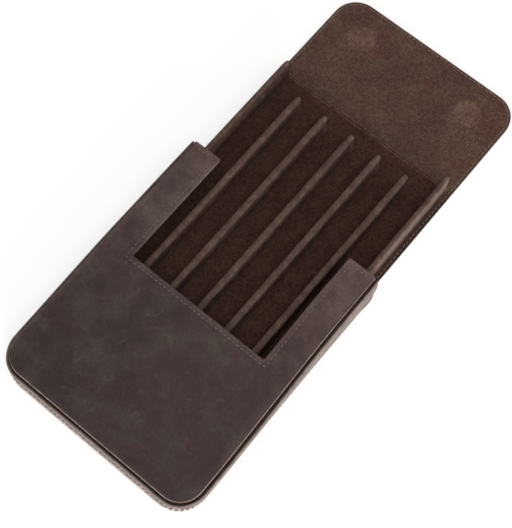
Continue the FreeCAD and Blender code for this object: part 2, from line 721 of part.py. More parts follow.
doc.recompute()
for item in doc.Objects:
    if "Invalid" in item.State or "Error" in item.State:
        raise RuntimeError("%s failed: %s" % (item.Label, item.State))
os.makedirs("parts", exist_ok=True)
for piece in pieces:
    if piece.Shape.isNull() or not piece.Shape.isValid():
        raise RuntimeError(piece.Label + " has no sound shape")
    box = piece.Shape.BoundBox
    print("%-20s %7.1f mm3, %d solid, x %.2f..%.2f y %.2f..%.2f z %.2f..%.2f" % (
        piece.Label, piece.Shape.Volume, len(piece.Shape.Solids),
        box.XMin, box.XMax, box.YMin, box.YMax, box.ZMin, box.ZMax))
    piece.Shape.exportStep(os.path.join("parts", piece.Label + ".step"))
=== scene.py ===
# %% [markdown]
# A leather pen case, lying on its back: a sleeve with a thumb notch, a tray with six slots that
# slides out of it, and a flap that folds over the mouth and holds by magnets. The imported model
# gives every place and size. This file gives it leather, thread and suede.

# %% Load the frame
import json
import math
import random
from functools import partial

import bmesh
import bpy
from mathutils import Matrix, Vector, noise


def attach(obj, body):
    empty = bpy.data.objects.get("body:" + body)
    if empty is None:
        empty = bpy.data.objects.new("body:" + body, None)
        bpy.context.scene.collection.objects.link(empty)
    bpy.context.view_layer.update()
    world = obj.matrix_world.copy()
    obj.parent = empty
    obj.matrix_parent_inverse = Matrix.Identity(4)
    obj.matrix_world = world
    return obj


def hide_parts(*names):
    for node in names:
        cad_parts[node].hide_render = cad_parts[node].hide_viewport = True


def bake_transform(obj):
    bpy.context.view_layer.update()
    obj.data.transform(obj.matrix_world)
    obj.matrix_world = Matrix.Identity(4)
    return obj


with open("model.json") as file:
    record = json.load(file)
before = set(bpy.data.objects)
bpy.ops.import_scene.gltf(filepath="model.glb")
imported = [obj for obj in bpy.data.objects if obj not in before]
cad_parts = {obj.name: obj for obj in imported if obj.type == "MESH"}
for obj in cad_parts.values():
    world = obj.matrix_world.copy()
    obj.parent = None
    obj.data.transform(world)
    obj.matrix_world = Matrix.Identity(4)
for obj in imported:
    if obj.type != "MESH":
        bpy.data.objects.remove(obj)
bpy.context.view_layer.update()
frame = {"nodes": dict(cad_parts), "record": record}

# %% [markdown]
# Blender counts in metres and a leather worker in millimetres. All sizes below are in
# millimetres, and these helpers turn them round. Operators act on all that is selected, so each
# step first selects one piece, and then, in edit mode, the parts of it that it means.

# %% Small helpers
MM = 0.001


def mm(*lengths):
    """Millimetres as metres."""
    return tuple(length * MM for length in lengths)


def only(piece=None):
    """Leaves edit mode, and selects this piece and nothing else."""
    if bpy.context.mode != "OBJECT":
        bpy.ops.object.mode_set(mode="OBJECT")
    bpy.ops.object.select_all(action="DESELECT")
    if piece is not None:
        piece.select_set(True)
        bpy.context.view_layer.objects.active = piece


def edit(piece):
    """Opens this piece in edit mode with everything in it selected."""
    only(piece)
    bpy.ops.object.mode_set(mode="EDIT")
    bpy.ops.mesh.select_mode(type="VERT")
    bpy.ops.mesh.select_all(action="SELECT")


print("one millimetre is", MM, "m")

# %% [markdown]
# Vertices, edges and faces are chosen in code by their place or the way they face. Modifiers
# are applied at once, because a piece is handed over as a plain mesh.

# %% Choosing parts, and changing whole pieces


def middle(part):
    """The middle of a vertex, edge or face, in millimetres."""
    points = [part.co] if hasattr(part, "co") else [corner.co for corner in part.verts]
    return sum(points, Vector()) / len(points) / MM


def pick(piece, kind, test):
    """In edit mode, selects the vertices, edges or faces that pass the test."""
    bpy.ops.mesh.select_mode(type=kind)
    bpy.ops.mesh.select_all(action="DESELECT")
    shape = bmesh.from_edit_mesh(piece.data)
    parts = {"VERT": shape.verts, "EDGE": shape.edges, "FACE": shape.faces}[kind]
    chosen = [part for part in parts if test(part)]
    for part in chosen:
        part.select_set(True)
    shape.select_flush_mode()
    bmesh.update_edit_mesh(piece.data)
    return len(chosen)


def apply_modifier(piece, kind, **settings):
    """Adds a modifier with these settings and applies it."""
    only(piece)
    change = piece.modifiers.new(kind.title(), kind)
    for word, setting in settings.items():
        setattr(change, word, setting)
    bpy.ops.object.modifier_apply(modifier=change.name)


def copy_of(piece, name):
    """A copy with its own mesh."""
    double = piece.copy()
    double.data = piece.data.copy()
    double.name = double.data.name = name
    bpy.context.scene.collection.objects.link(double)
    return double


def relief(piece, height):
    """Moves each vertex up by height(x, y, z), all in millimetres."""
    for vertex in piece.data.vertices:
        vertex.co.z += height(*(vertex.co / MM)) * MM
    piece.data.update()


print("CAD nodes to dress:", len(frame["nodes"]))

# %% [markdown]
# The photograph looks down on the case from the front right. The camera's place and lens were
# found by fitting the case's corners, so both are numbers here. It aims at a point of the table
# and is tilted by a quarter of a degree.

# %% Camera
CAMERA_AT = Vector(mm(174.042, -237.103, 718.248))
AIM_AT = Vector(mm(3.51, -29.27, 0))
TILT = math.radians(0.27)
LENS, SENSOR_HEIGHT = 59.87, 24

only()
bpy.ops.object.camera_add(location=CAMERA_AT)
camera = bpy.context.object
camera.name = "camera"
aim = (AIM_AT - CAMERA_AT).to_track_quat("-Z", "Y").to_matrix()
aim_and_tilt = aim @ Matrix.Rotation(TILT, 3, "Z")
camera.matrix_world = Matrix.Translation(CAMERA_AT) @ aim_and_tilt.to_4x4()
camera.data.sensor_fit = "VERTICAL"
camera.data.sensor_height = SENSOR_HEIGHT
camera.data.lens = LENS
camera.data.clip_start = 10 * MM
bpy.context.scene.camera = camera
print("camera at", [round(side) for side in CAMERA_AT / MM], "mm, with a lens of", LENS, "mm")

# %% [markdown]
# A material is a network of nodes. One helper adds a node and sets or links its sockets, so a
# material reads from top to bottom. Colours are written in sRGB hex, as a colour picker shows
# them, and turned into the linear values that a shader counts with.

# %% How a material is made


def linear(colour):
    """An sRGB hex colour as the linear values that a shader takes."""
    parts = [int(colour[place:place + 2], 16) / 255 for place in (1, 3, 5)]
    return tuple(part / 12.92 if part <= 0.04045 else ((part + 0.055) / 1.055) ** 2.4
                 for part in parts) + (1.0,)


def add_node(tree, kind, inputs=None, **settings):
    """Adds one node. A socket gets a value, or a link to another node's output, or to the first
    output when it is given the node itself."""
    node = tree.nodes.new(kind)
    for word, setting in settings.items():
        setattr(node, word, setting)
    for socket, source in (inputs or {}).items():
        if isinstance(source, bpy.types.Node):
            source = source.outputs[0]
        if isinstance(source, bpy.types.NodeSocket):
            tree.links.new(source, node.inputs[socket])
        else:
            node.inputs[socket].default_value = source
    return node


def new_material(name):
    """A material with no nodes yet, and the function that adds one to it."""
    material = bpy.data.materials.new(name)
    material.use_nodes = True
    material.node_tree.nodes.clear()
    return material, partial(add_node, material.node_tree)


print("the grey #808080 is", round(linear("#808080")[0], 3), "in linear light")

# %% [markdown]
# The case lies on a white table. Most of the table's white is its own glow, which only the
# camera and reflections see, so that the soft shadow under the case stays and is faint.

# %% Table
TABLE_SPAN = 6000
TABLE_GLOW = 0.64

bpy.context.scene.view_settings.view_transform = "Standard"

table_paint, add = new_material("white matt laminate table")
light_path = add("ShaderNodeLightPath")
seen = add("ShaderNodeMath", {
    0: light_path.outputs["Is Camera Ray"],
    1: light_path.outputs["Is Glossy Ray"]}, operation="MAXIMUM")
seen_too = add("ShaderNodeMath", {
    0: seen, 1: light_path.outputs["Is Transmission Ray"]}, operation="MAXIMUM")
glow = add("ShaderNodeMath", {0: seen_too, 1: TABLE_GLOW}, operation="MULTIPLY")
matt = add("ShaderNodeBsdfDiffuse", {"Color": linear("#a7a6a5")})
shine = add("ShaderNodeEmission", {"Color": linear("#ffffff"), "Strength": glow})
both = add("ShaderNodeAddShader", {0: matt, 1: shine})
add("ShaderNodeOutputMaterial", {"Surface": both})

only()
bpy.ops.mesh.primitive_plane_add(size=TABLE_SPAN * MM)
table = bpy.context.object
table.name = "table"
table.data.materials.append(table_paint)
print("table", TABLE_SPAN, "mm across")

# %% [markdown]
# The light is a photographer's light tent, which glows evenly all round: that is the world's
# colour. One broad lamp stands above, and one low at the right, where it lights the gusset's
# swell. Both are large discs, so their shadows are soft.

# %% Light tent and lamps
TENT_STRENGTH = 0.6
LAMP_POWER = 11

world = bpy.data.worlds.new("light tent")
bpy.context.scene.world = world
world.use_nodes = True
tent = world.node_tree.nodes["Background"]
tent.inputs["Color"].default_value = linear("#fdfdff")
tent.inputs["Strength"].default_value = TENT_STRENGTH


def lamp(name, place, size, power):
    """A round soft lamp, this many metres wide, at this place in mm and turned to the case."""
    only()
    bpy.ops.object.light_add(type="AREA", location=mm(*place))
    light = bpy.context.object
    light.name = name
    light.data.shape = "DISK"
    light.data.size = size
    light.data.energy = power
    light.rotation_euler = (-light.location).to_track_quat("-Z", "Y").to_euler()
    print(name, "of", power, "W at", place)


lamp("lamp_above", (450, -300, 1500), 1.2, LAMP_POWER)
lamp("lamp_low", (950, -850, 330), 0.5, LAMP_POWER)

# %% [markdown]
# The leathers. Pull-up leather is cowhide soaked with oil and wax: where it bends or is
# scuffed the oil moves away and it turns paler, so its colour is cloudy. The noise textures
# read the place of each point when the case was made, kept on the mesh, so the pattern stays on
# the leather when it bends. Each scale is a real size: 1000 / size in mm.

# %% Clouds in a leather's dye
SMALL_CLOUD = 0.35


def cloudy(add, place, tones, cloud):
    """Broad clouds of the warm tone on the main one, and small olive clouds on both. Gives the
    colour, and the small clouds' noise."""
    main, warm, olive = [linear(tone) for tone in tones]
    broad = add("ShaderNodeTexNoise", {
        "Vector": place, "Scale": 1000 / cloud, "Detail": 4.0, "Roughness": 0.6,
        "Distortion": 0.6})
    broad_range = add("ShaderNodeMapRange", {"Value": broad, "From Min": 0.42, "From Max": 0.60})
    small = add("ShaderNodeTexNoise", {
        "Vector": place, "Scale": 1000 / (cloud * SMALL_CLOUD), "Detail": 5.0,
        "Roughness": 0.65})
    small_range = add("ShaderNodeMapRange", {"Value": small, "From Min": 0.46, "From Max": 0.66})
    warmed = add("ShaderNodeMix", {0: broad_range, 6: main, 7: warm}, data_type="RGBA")
    clouded = add("ShaderNodeMix", {
        0: small_range, 6: warmed.outputs[2], 7: olive}, data_type="RGBA")
    return clouded.outputs[2], small


print("small clouds are", SMALL_CLOUD, "as wide as broad ones")

# %% [markdown]
# A second number is kept on the mesh, the wear. It says how pale rubbing has turned the leather
# at each point, and in places it also holds painted light, which turns a surface paler where light
# falls on it. Below zero it is painted shade, which darkens the leather where a shadow falls.
# Scuffs are streaks of the same pale colour, which lie all over.

# %% Wear and scuffs
STREAK = 11


def rubbed(add, place, wear_and_light, small, colour, worn, scuffs):
    """The colour, turned paler by wear, by painted light and by scuffs."""
    patchy = add("ShaderNodeMapRange", {
        "Value": small, "From Min": 0.3, "From Max": 0.7, "To Min": 0.6, "To Max": 1.3})
    streaky = add("ShaderNodeTexNoise", {
        "Vector": place, "Scale": 1000 / STREAK, "Detail": 7.0, "Roughness": 0.7,
        "Distortion": 1.6})
    scuffed = add("ShaderNodeMapRange", {
        "Value": streaky, "From Min": 0.56, "From Max": 0.74, "To Max": scuffs})
    uneven = add("ShaderNodeMath", {0: wear_and_light, 1: patchy}, operation="MULTIPLY")
    paled = add("ShaderNodeMath", {0: uneven, 1: scuffed}, operation="ADD", use_clamp=True)
    aged = add("ShaderNodeMix", {0: paled, 6: colour, 7: linear(worn)}, data_type="RGBA")
    return aged.outputs[2]


def darkened(add, wear_and_light, small, specks, speckle, patches):
    """How much darker or lighter the specks, the small patches and the painted shade make each
    point.
    """
    shade = add("ShaderNodeMapRange", {
        "Value": specks, "From Min": 0.3, "From Max": 0.7,
        "To Min": 1 - speckle, "To Max": 1 + speckle})
    deep = add("ShaderNodeMapRange", {
        "Value": small, "From Min": 0.35, "From Max": 0.65,
        "To Min": 1 - patches, "To Max": 1 + patches})
    mottled = add("ShaderNodeMath", {0: shade, 1: deep}, operation="MULTIPLY")
    # Wear below zero is painted shade, which darkens the colour where a shadow falls.
    painted_shade = add("ShaderNodeMapRange", {
        "Value": wear_and_light, "From Min": -1.0, "From Max": 0.0, "To Min": 0.4, "To Max": 1.0})
    both = add("ShaderNodeMath", {0: mottled, 1: painted_shade}, operation="MULTIPLY")
    return both.outputs[0]


print("scuffs are streaks about", STREAK, "mm long")

# %% [markdown]
# The grain is what is left of the hide's pores. A cell texture and a fine noise raise it, and
# the noise also specks the colour. It is drawn about a millimetre wide, and printed ribs 1.3 mm
# apart, both coarser than the real ones, so that they show in the picture.

# %% A whole leather
PORE_DEPTH = 0.12


def leather(name, tones, worn, cloud, grain, roughness, bump, speckle=0.15, gloss=0.25,
            scuffs=0.0, ribs=0.0, patches=0.06):
    """A leather: its main, warm and olive tones, its worn colour, the size of its clouds and of
    its grain in mm, its roughness and the strength of its pores, how far the grain's specks are
    darker and lighter, its gloss, how strong its scuffs are, how far apart its printed ribs lie
    in mm, and how dark and light its patches are."""
    material, add = new_material(name)
    place = add("ShaderNodeAttribute", attribute_name="place").outputs["Vector"]
    wear_and_light = add("ShaderNodeAttribute", attribute_name="wear_and_light").outputs["Fac"]
    clouds, small = cloudy(add, place, tones, cloud)
    aged = rubbed(add, place, wear_and_light, small, clouds, worn, scuffs)

    cells = add("ShaderNodeTexVoronoi", {"Vector": place, "Scale": 1000 / grain})
    fine = add("ShaderNodeTexNoise", {"Vector": place, "Scale": 1000 / grain, "Detail": 2.0})
    specks = fine
    if ribs:
        # At scale 1 a wave texture's bands lie pi / 10 apart.
        rows = add("ShaderNodeTexWave", {
            "Vector": place, "Scale": math.pi / 10 / (ribs * MM), "Distortion": 9.0,
            "Detail": 2.0, "Detail Scale": 0.25}, bands_direction="Y")
        specks = add("ShaderNodeMix", {0: 0.24, 2: specks, 3: rows.outputs["Fac"]})
    shade = darkened(add, wear_and_light, small, specks, speckle, patches)
    colour = add("ShaderNodeVectorMath", {0: aged, 1: shade}, operation="MULTIPLY")
    rough = add("ShaderNodeMapRange", {
        "Value": small, "From Min": 0.3, "From Max": 0.7,
        "To Min": roughness - 0.06, "To Max": roughness + 0.06})
    height = add("ShaderNodeMath", {0: cells.outputs["Distance"], 1: specks}, operation="ADD")
    pores = add("ShaderNodeBump", {
        "Strength": bump, "Distance": PORE_DEPTH * MM, "Height": height})
    shader = add("ShaderNodeBsdfPrincipled", {
        "Base Color": colour, "Roughness": rough, "IOR": 1.42,
        "Specular IOR Level": gloss, "Normal": pores})
    add("ShaderNodeOutputMaterial", {"Surface": shader})
    return material


print("pores are up to", PORE_DEPTH, "mm deep")

# %% [markdown]
# The case's own leathers. They come from four hides. How a hide was cut, bent, rubbed or waxed
# changes its colour and its gloss, so each such finish is a material of its own. The near-black
# groove leather is painted shade, and the turned edge and the gusset also carry a painted
# highlight.

# %% The case's leathers
# Full-grain cowhide, drum-dyed, oiled and waxed: smooth and dull, with reddish and olive clouds.
outer_leather = leather(
    "oiled pull-up cowhide", ("#322626", "#382828", "#352e29"), "#66524c",
    cloud=46, grain=1.4, roughness=0.62, bump=0.4, speckle=0.12, scuffs=0.3, patches=0.14)
# The same hide turned over an edge: the oil has moved away, so the edge shows as a pale line,
# which also holds a painted highlight along the rounded edge.
turned_edge = leather(
    "turned edge of pull-up cowhide", ("#66534d", "#604d47", "#6e5c55"), "#c6b5ac",
    cloud=7, grain=0.8, roughness=0.55, bump=0.3, speckle=0.25)
# The gusset is the same hide, bent round all its length, which makes it much paler on its swell,
# and its pale worn colour there is also a painted highlight.
gusset_leather = leather(
    "bent pull-up cowhide with painted highlight", ("#3a2b26", "#40302b", "#423730"), "#8e7d74",
    cloud=16, grain=1.0, roughness=0.5, bump=0.4, speckle=0.22, gloss=0.5)
# Deep in the groove beside the front panel the leather is painted shade: nearly black and without
# gloss, where the shadow falls.
groove_leather = leather(
    "pull-up cowhide, painted groove shade", ("#2b1f1b", "#2e211d", "#2f2723"), "#4a3d38",
    cloud=16, grain=1.0, roughness=0.85, bump=0.4, gloss=0.08)
# Vegetable-tanned calf, dyed brown, with a fine printed grain that breaks the light into specks.
lining_leather = leather(
    "matt grained calf lining", ("#4a342b", "#4f362c", "#48382c"), "#6d5346",
    cloud=42, grain=1.2, roughness=0.75, bump=0.8, speckle=0.54, scuffs=0.3, ribs=1.3,
    patches=0.18)
# Pigskin, thin and soft, that folds over boards. It rubs paler along its ridges, and its pale
# colour is also the painted light on the right wall's outer side.
tray_leather = leather(
    "matt pigskin", ("#433029", "#3e2b26", "#4a3a33"), "#776359",
    cloud=14, grain=1.0, roughness=0.72, bump=0.6, speckle=0.26, gloss=0.12)
# The same pigskin where it slides in the sleeve: darker, and dull.
slid_leather = leather(
    "darkened pigskin", ("#35231c", "#301f19", "#392a21"), "#5c463b",
    cloud=14, grain=1.0, roughness=0.85, bump=0.5, gloss=0.05)
# Split hide, sanded to a nap that takes the light without gloss.
suede = leather(
    "sanded suede", ("#3d2821", "#38231e", "#3e2c22"), "#6a5448",
    cloud=16, grain=1.2, roughness=0.9, bump=1.0, speckle=0.34, gloss=0.1)
# A cut edge, slicked with gum and heat, then dyed dark: smooth, and paler where it is rubbed.
burnished = leather(
    "burnished leather edge", ("#332724", "#2c211f", "#3c322e"), "#9a887c",
    cloud=8, grain=0.8, roughness=0.5, bump=0.4)
print("the front's leather has", len(outer_leather.node_tree.nodes), "nodes")

# %% [markdown]
# Thread, board and magnets. The thread is waxed polyester, a little lighter than the leather.
# The boards and discs lie inside the leather, and keep their CAD shapes.

# %% Thread, board and nickel


def plain(name, colours, size, roughness, metallic=0.0, grain=0.3):
    """A finish with one noise of this size in mm between two colours, on the object's own
    coordinates, and with this much metal and grain."""
    material, add = new_material(name)
    place = add("ShaderNodeTexCoord").outputs["Object"]
    fine = add("ShaderNodeTexNoise", {"Vector": place, "Scale": 1000 / size, "Detail": 3.0})
    colour = add("ShaderNodeMix", {
        0: fine, 6: linear(colours[0]), 7: linear(colours[1])}, data_type="RGBA")
    bumps = add("ShaderNodeBump", {"Strength": grain, "Distance": 0.05 * MM, "Height": fine})
    shader = add("ShaderNodeBsdfPrincipled", {
        "Base Color": colour.outputs[2], "Roughness": roughness, "Metallic": metallic,
        "Normal": bumps})
    add("ShaderNodeOutputMaterial", {"Surface": shader})
    return material


# Twisted polyester, waxed: soft shine, fine ridges. Where hands rub it, it has darkened.
thread = plain("waxed polyester thread", ("#5a473c", "#735f51"), 0.4, 0.6)
pale_thread = plain("rubbed waxed thread", ("#7f6e60", "#998a7b"), 0.4, 0.6)
dark_thread = plain("darkened waxed thread", ("#4d3f39", "#6b5b53"), 0.4, 0.6)
# Pressed grey fibreboard: dull, with flecks of fibre.
board = plain("grey fibreboard", ("#8f8678", "#a89e8e"), 1.5, 0.9)
# Nickel-plated neodymium: a bright metal with a slight tumbled haze.
nickel = plain("nickel plate", ("#b9b4aa", "#c8c4bc"), 0.8, 0.25, metallic=1.0, grain=0.05)

CAD_FINISHES = {"board": board, "magnet_steel": nickel}
for part in frame["record"]["subparts"]:
    finish = CAD_FINISHES.get(part["material_slot"])
    if finish is not None:
        node = frame["nodes"][part["node"]]
        node.data.materials.clear()
        node.data.materials.append(finish)
        print(part["node"], "is", finish.name)

# %% [markdown]
# Every flat piece of leather starts as a rectangle. Its corners are rounded with a vertex
# bevel, insets run edge loops round it, and bisecting lays a grid over it, so that it can bend
# and take a soft relief.

# %% How a flat leather is cut
CLOSE = 0.01  # two places nearer than this are the same


def new_plane(name, size, place):
    """A square of this size in metres at this place in mm, open in edit mode."""
    only()
    bpy.ops.mesh.primitive_plane_add(size=size, location=mm(*place))
    piece = bpy.context.object
    piece.name = piece.data.name = name
    bpy.ops.object.transform_apply(location=True, rotation=True, scale=True)
    edit(piece)
    return piece


def sheet_face(name, half, low, high):
    """One rectangular face about the middle line, open in edit mode."""
    centre = (0, (low + high) / 2, 0)
    piece = new_plane(name, 1, centre)
    bpy.ops.transform.resize(value=(2 * half * MM, (high - low) * MM, 1),
                             center_override=mm(*centre))
    return piece


def both_sides(x, y):
    """This place and its mirror image."""
    return [(-x, y), (x, y)]


def round_corners(piece, spots, radius, segments=10):
    """Rounds the corners at these places."""
    pick(piece, "VERT", lambda corner: any(
        (middle(corner).xy - Vector(spot)).length < 5 * CLOSE for spot in spots))
    bpy.ops.mesh.bevel(offset=radius * MM, segments=segments, affect="VERTICES")


def edge_loops(piece, steps):
    """Insets the one face again and again, which leaves a loop after each step."""
    pick(piece, "FACE", lambda f: True)
    for step in steps:
        bpy.ops.mesh.inset(thickness=step * MM)


def grid(piece, across, along):
    """Cuts the whole piece at these x and y."""
    for normal, axis, places in (((1, 0, 0), 0, across), ((0, 1, 0), 1, along)):
        for place in places:
            spot = [0.0, 0.0, 0.0]
            spot[axis] = place * MM
            bpy.ops.mesh.select_all(action="SELECT")
            bpy.ops.mesh.bisect(plane_co=spot, plane_no=normal)


def finer(spot, reach, step):
    """A range about this place that gets closer steps."""
    return (spot - reach, spot + reach, step)


def steps_between(low, high, step, fine=()):
    """Places every step, and closer inside each fine range (low, high, step)."""
    places = {round(low + index * step, 3) for index in range(1, int((high - low) / step))}
    for start, stop, small in fine:
        places = {place for place in places
                  if not start - step * 0.3 < place < stop + step * 0.3}
        places |= {round(start + index * small, 3)
                   for index in range(int(round((stop - start) / small)) + 1)}
    return sorted(places)


print("cuts from 0 to 20, closer about 10:", steps_between(0, 20, 4, [finer(10, 1, 1)]))

# %% [markdown]
# A copy of the cut face gets its thickness, and its rim is bevelled. Each vertex then keeps its
# place and its wear, with the painted light and shade that it holds, which the leather's pattern
# follows.

# %% How a leather gets its thickness and its finish
SHARP = 1.0  # radians
SMOOTH_BELOW = 38  # degrees


def thicken(face, name, top, thick):
    """A copy of a flat face at this level, made this thick downwards."""
    only()
    piece = copy_of(face, name)
    piece.data.transform(Matrix.Translation(mm(0, 0, top)))
    apply_modifier(piece, "SOLIDIFY", thickness=thick * MM, offset=-1)
    return piece


def round_rim(piece, level, radius, here=lambda spot: True):
    """Rounds the sharp edges at this level whose middle passes the test."""
    def on_rim(edge):
        return (len(edge.link_faces) == 2 and edge.calc_face_angle() > SHARP
                and abs(middle(edge).z - level) < CLOSE and here(middle(edge)))

    edit(piece)
    if pick(piece, "EDGE", on_rim):
        bpy.ops.mesh.bevel(offset=radius * MM, segments=4, affect="EDGES")
    only(piece)


def paint(piece, materials, choose=None, wear_and_light=lambda x, y, z: 0.0):
    """Gives the piece its materials, keeps each vertex's place, and its wear and painted light, for
    them, and shades it.
    """
    piece.data.materials.clear()
    for material in materials:
        piece.data.materials.append(material)
    if choose is not None:
        for face in piece.data.polygons:
            face.material_index = choose(face.center / MM, face.normal)
    keep = piece.data.attributes.new("place", "FLOAT_VECTOR", "POINT")
    keep.data.foreach_set("vector", [side for vertex in piece.data.vertices for side in vertex.co])
    worn = piece.data.attributes.new("wear_and_light", "FLOAT", "POINT")
    worn.data.foreach_set("value", [wear_and_light(*(vertex.co / MM)) for vertex in piece.data.vertices])
    only(piece)
    bpy.ops.object.shade_smooth_by_angle(angle=math.radians(SMOOTH_BELOW))
    print("%-24s %6d faces" % (piece.name, len(piece.data.polygons)))


def rise(value, low, high):
    """0 up to low, 1 from high, and smooth between them."""
    share = min(max((value - low) / (high - low), 0), 1)
    return share * share * (3 - 2 * share)


def bell(gap, width):
    """1 where the gap is nought, and smoothly down to nought past this width."""
    return math.exp(-(gap / width) ** 2)


print("halfway up a rise:", rise(1, 0, 2), "and one width down a bell:", round(bell(1, 1), 2))

# %% [markdown]
# The front panel: two leathers glued back to back. Its long edges and closed end are turned
# into the seam, so they are round and pale: partly the bent leather's own paleness, partly a
# painted highlight. The notch and the mouth are cut edges that were burnished. Its outline comes
# first: a rectangle with the notch cut away, and a grid that is closer over the magnets and along
# the stitches.

# %% Front panel's outline
FRONT_HALF, FRONT_LOW, FRONT_TOP, LEATHER = 66.35, -168.75, 26, 1.5
NOTCH_HALF, NOTCH_LOW = 47.5, -77
FRONT_CORNER, MOUTH_CORNER, NOTCH_CORNER = 14.5, 1.3, 1.4
FRONT_ROW = 3
MAGNET_ACROSS, MAGNET_FRONT, MAGNET_FLAP, MAGNET_REACH = 40.5, -93, 126.3, 11

front_face = sheet_face("front_face", FRONT_HALF, FRONT_LOW, 0)
grid(front_face, (-NOTCH_HALF, NOTCH_HALF), (NOTCH_LOW,))
pick(front_face, "FACE", lambda f: abs(middle(f).x) < NOTCH_HALF and middle(f).y > NOTCH_LOW)
bpy.ops.mesh.delete(type="FACE")
bpy.ops.mesh.select_all(action="SELECT")
bpy.ops.mesh.dissolve_faces()
round_corners(front_face, both_sides(FRONT_HALF, FRONT_LOW), FRONT_CORNER)
round_corners(front_face, both_sides(NOTCH_HALF, NOTCH_LOW), NOTCH_CORNER, 6)
round_corners(front_face, both_sides(NOTCH_HALF, 0) + both_sides(FRONT_HALF, 0), MOUTH_CORNER, 6)
edge_loops(front_face, (0.65, 0.5))
over_magnets = [finer(side * MAGNET_ACROSS, MAGNET_REACH, 1.0) for side in (-1, 1)]
beside_notch = [finer(side * (NOTCH_HALF + FRONT_ROW), 0.4, 0.4) for side in (-1, 1)]
along_front = [finer(MAGNET_FRONT, MAGNET_REACH, 1.0)]
along_front += [finer(place - FRONT_ROW, 0.4, 0.4) for place in (NOTCH_LOW, 0)]
grid(front_face, steps_between(-FRONT_HALF, FRONT_HALF, 3.5, over_magnets + beside_notch),
     steps_between(FRONT_LOW, 0, 3.5, along_front))
only()
print("front panel cut into", len(front_face.data.polygons), "faces")

# %% [markdown]
# Leather that was glued by hand isn't flat. Thread pulls a groove into it, and the two magnets
# between the layers lift it a little. Where hands touch it, beside the notch and along its
# edges, it has turned paler. Towards the mouth it grows paler too, partly from handling and
# partly as painted light, which falls more on the tips.

# %% Front panel's relief and wear


def notch_gap(x, y):
    """How far a point of the front panel lies from the notch or the mouth."""
    aside = max(abs(x) - NOTCH_HALF, 0)
    below = max(NOTCH_LOW - y, 0)
    from_notch = math.hypot(aside, below)
    return min(from_notch, -y) if abs(x) > NOTCH_HALF else from_notch


def disc_rise(x, y, along, height, radius=8.7, soft_edge=1.5):
    """The soft step that a magnet inside the leather makes."""
    gap = math.hypot(abs(x) - MAGNET_ACROSS, y - along) - radius
    return height * min(max(0.5 - gap / (2 * soft_edge), 0), 1)


def soft(x, y, size, height):
    """Slow, even unevenness of hand-glued leather."""
    return height * noise.noise(Vector((x / size, y / size, 0.37)))


def front_relief(x, y, z):
    """The panel's upper side: the stitches' groove, the magnets and the unevenness."""
    if z < FRONT_TOP - 0.1:
        return 0
    row = -0.14 * bell(notch_gap(x, y) - FRONT_ROW, 0.4)
    return row + disc_rise(x, y, MAGNET_FRONT, 0.06) + soft(x, y, 30, 0.12)


def turned(spot):
    """True away from the notch and the mouth, where the edges are turned into the seam."""
    return notch_gap(spot.x, spot.y) > 1.0


def front_wear_and_light(x, y, z):
    """Hands rub the tips beside the notch, the turned edges, the notch's rim and the magnets'
    rings. The paleness that grows along the tips towards the mouth is also painted light, and on
    the turned edges also a painted highlight."""
    # Paler towards the mouth: partly wear, partly painted light along the case.
    tips = 0.36 * rise(y, -95, -5) + 0.08 * rise(y, -150, -80)
    edge = 1 - rise(abs(x), FRONT_HALF - 1, FRONT_HALF - 0.5)
    sides = 0.2 * rise(abs(x), FRONT_HALF - 3.5, FRONT_HALF - 0.3) * (1 - 0.8 * rise(y, -45, -8))
    closed_end = 0.25 * rise(-y, 167.3, 168.3)
    ring = 0.07 * bell(abs(math.hypot(abs(x) - MAGNET_ACROSS, y - MAGNET_FRONT) - 8.4), 1.4)
    notch = 0.2 * bell(notch_gap(x, y) - 1.2, 0.9)
    return tips * edge + (sides + closed_end) + ring + notch


print("wear in the middle of a tip:", round(front_wear_and_light(57, -10, FRONT_TOP), 2))

# %% [markdown]
# The front was sewn on a little askew: towards the closed end it lies up to 3 mm further right
# than the back. The finished panel is moved by that, so that its outline stays simple to draw.

# %% Front panel


def lean(x, y):
    """How far the front lies to the right of the back here, because it was sewn a little askew."""
    share = (x + FRONT_HALF) / (2 * FRONT_HALF)
    return 0.25 + 1.7 * rise(-y, 65, 165) * (1 - share) + 3.0 * rise(-y, 25, 155) * share


def lean_over(piece, height=lambda z: 1.0):
    """Moves a finished piece by the lean, or by a share of it that depends on the height."""
    for vertex in piece.data.vertices:
        x, y, z = vertex.co / MM
        vertex.co.x += lean(x, y) * height(z) * MM
    piece.data.update()


front_leather = thicken(front_face, "front_leather", FRONT_TOP, LEATHER)
round_rim(front_leather, FRONT_TOP, 0.55, turned)
round_rim(front_leather, FRONT_TOP, 0.35)
relief(front_leather, front_relief)


def front_paint(spot, normal):
    """The rounded rim is a turned edge or a burnished one, and the rest is plain leather."""
    if turned(spot):
        return 1 if normal.z < 0.95 and spot.z > FRONT_TOP - 1.1 else 0
    return 2 if normal.z < 0.9 else 0


paint(front_leather, [outer_leather, turned_edge, burnished], front_paint, front_wear_and_light)
lean_over(front_leather)
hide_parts("front_skin")
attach(front_leather, "case")

front_back = thicken(front_face, "front_lining_leather", FRONT_TOP - LEATHER, LEATHER)
round_rim(front_back, FRONT_TOP - 2 * LEATHER, 0.35)
paint(front_back, [lining_leather, burnished],
      lambda spot, normal: 1 if abs(normal.z) < 0.9 else 0)
lean_over(front_back)
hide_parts("front_lining")
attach(front_back, "case")
bpy.data.objects.remove(front_face)

# %% [markdown]
# The back panel, the spine and the flap are one leather, from the closed end to the flap's
# free edge, with a lining of the same outline. It is cut once and folded nowhere. Beside the
# sleeve its rim stands out further than beside the flap, and its width changes on the way.

# %% Outline of back panel and flap
FLAP_HALF, BACK_LOW, FLAP_HIGH = 65.25, -171, 148.5
RIM_PLACES = ((0, 65.25), (-2, 68.3), (-5, 68.9), (-9, 68.9), (-14, 68.4), (-60, 68.3),
              (-95, 68.6), (-140, 69.5))
RIM_END = RIM_PLACES[-1][1]
BACK_CORNER, FLAP_CORNER = 19, 16
FOLDS = (6, 27.3)
FOLD_REACH = 5
PARTING = 16.65

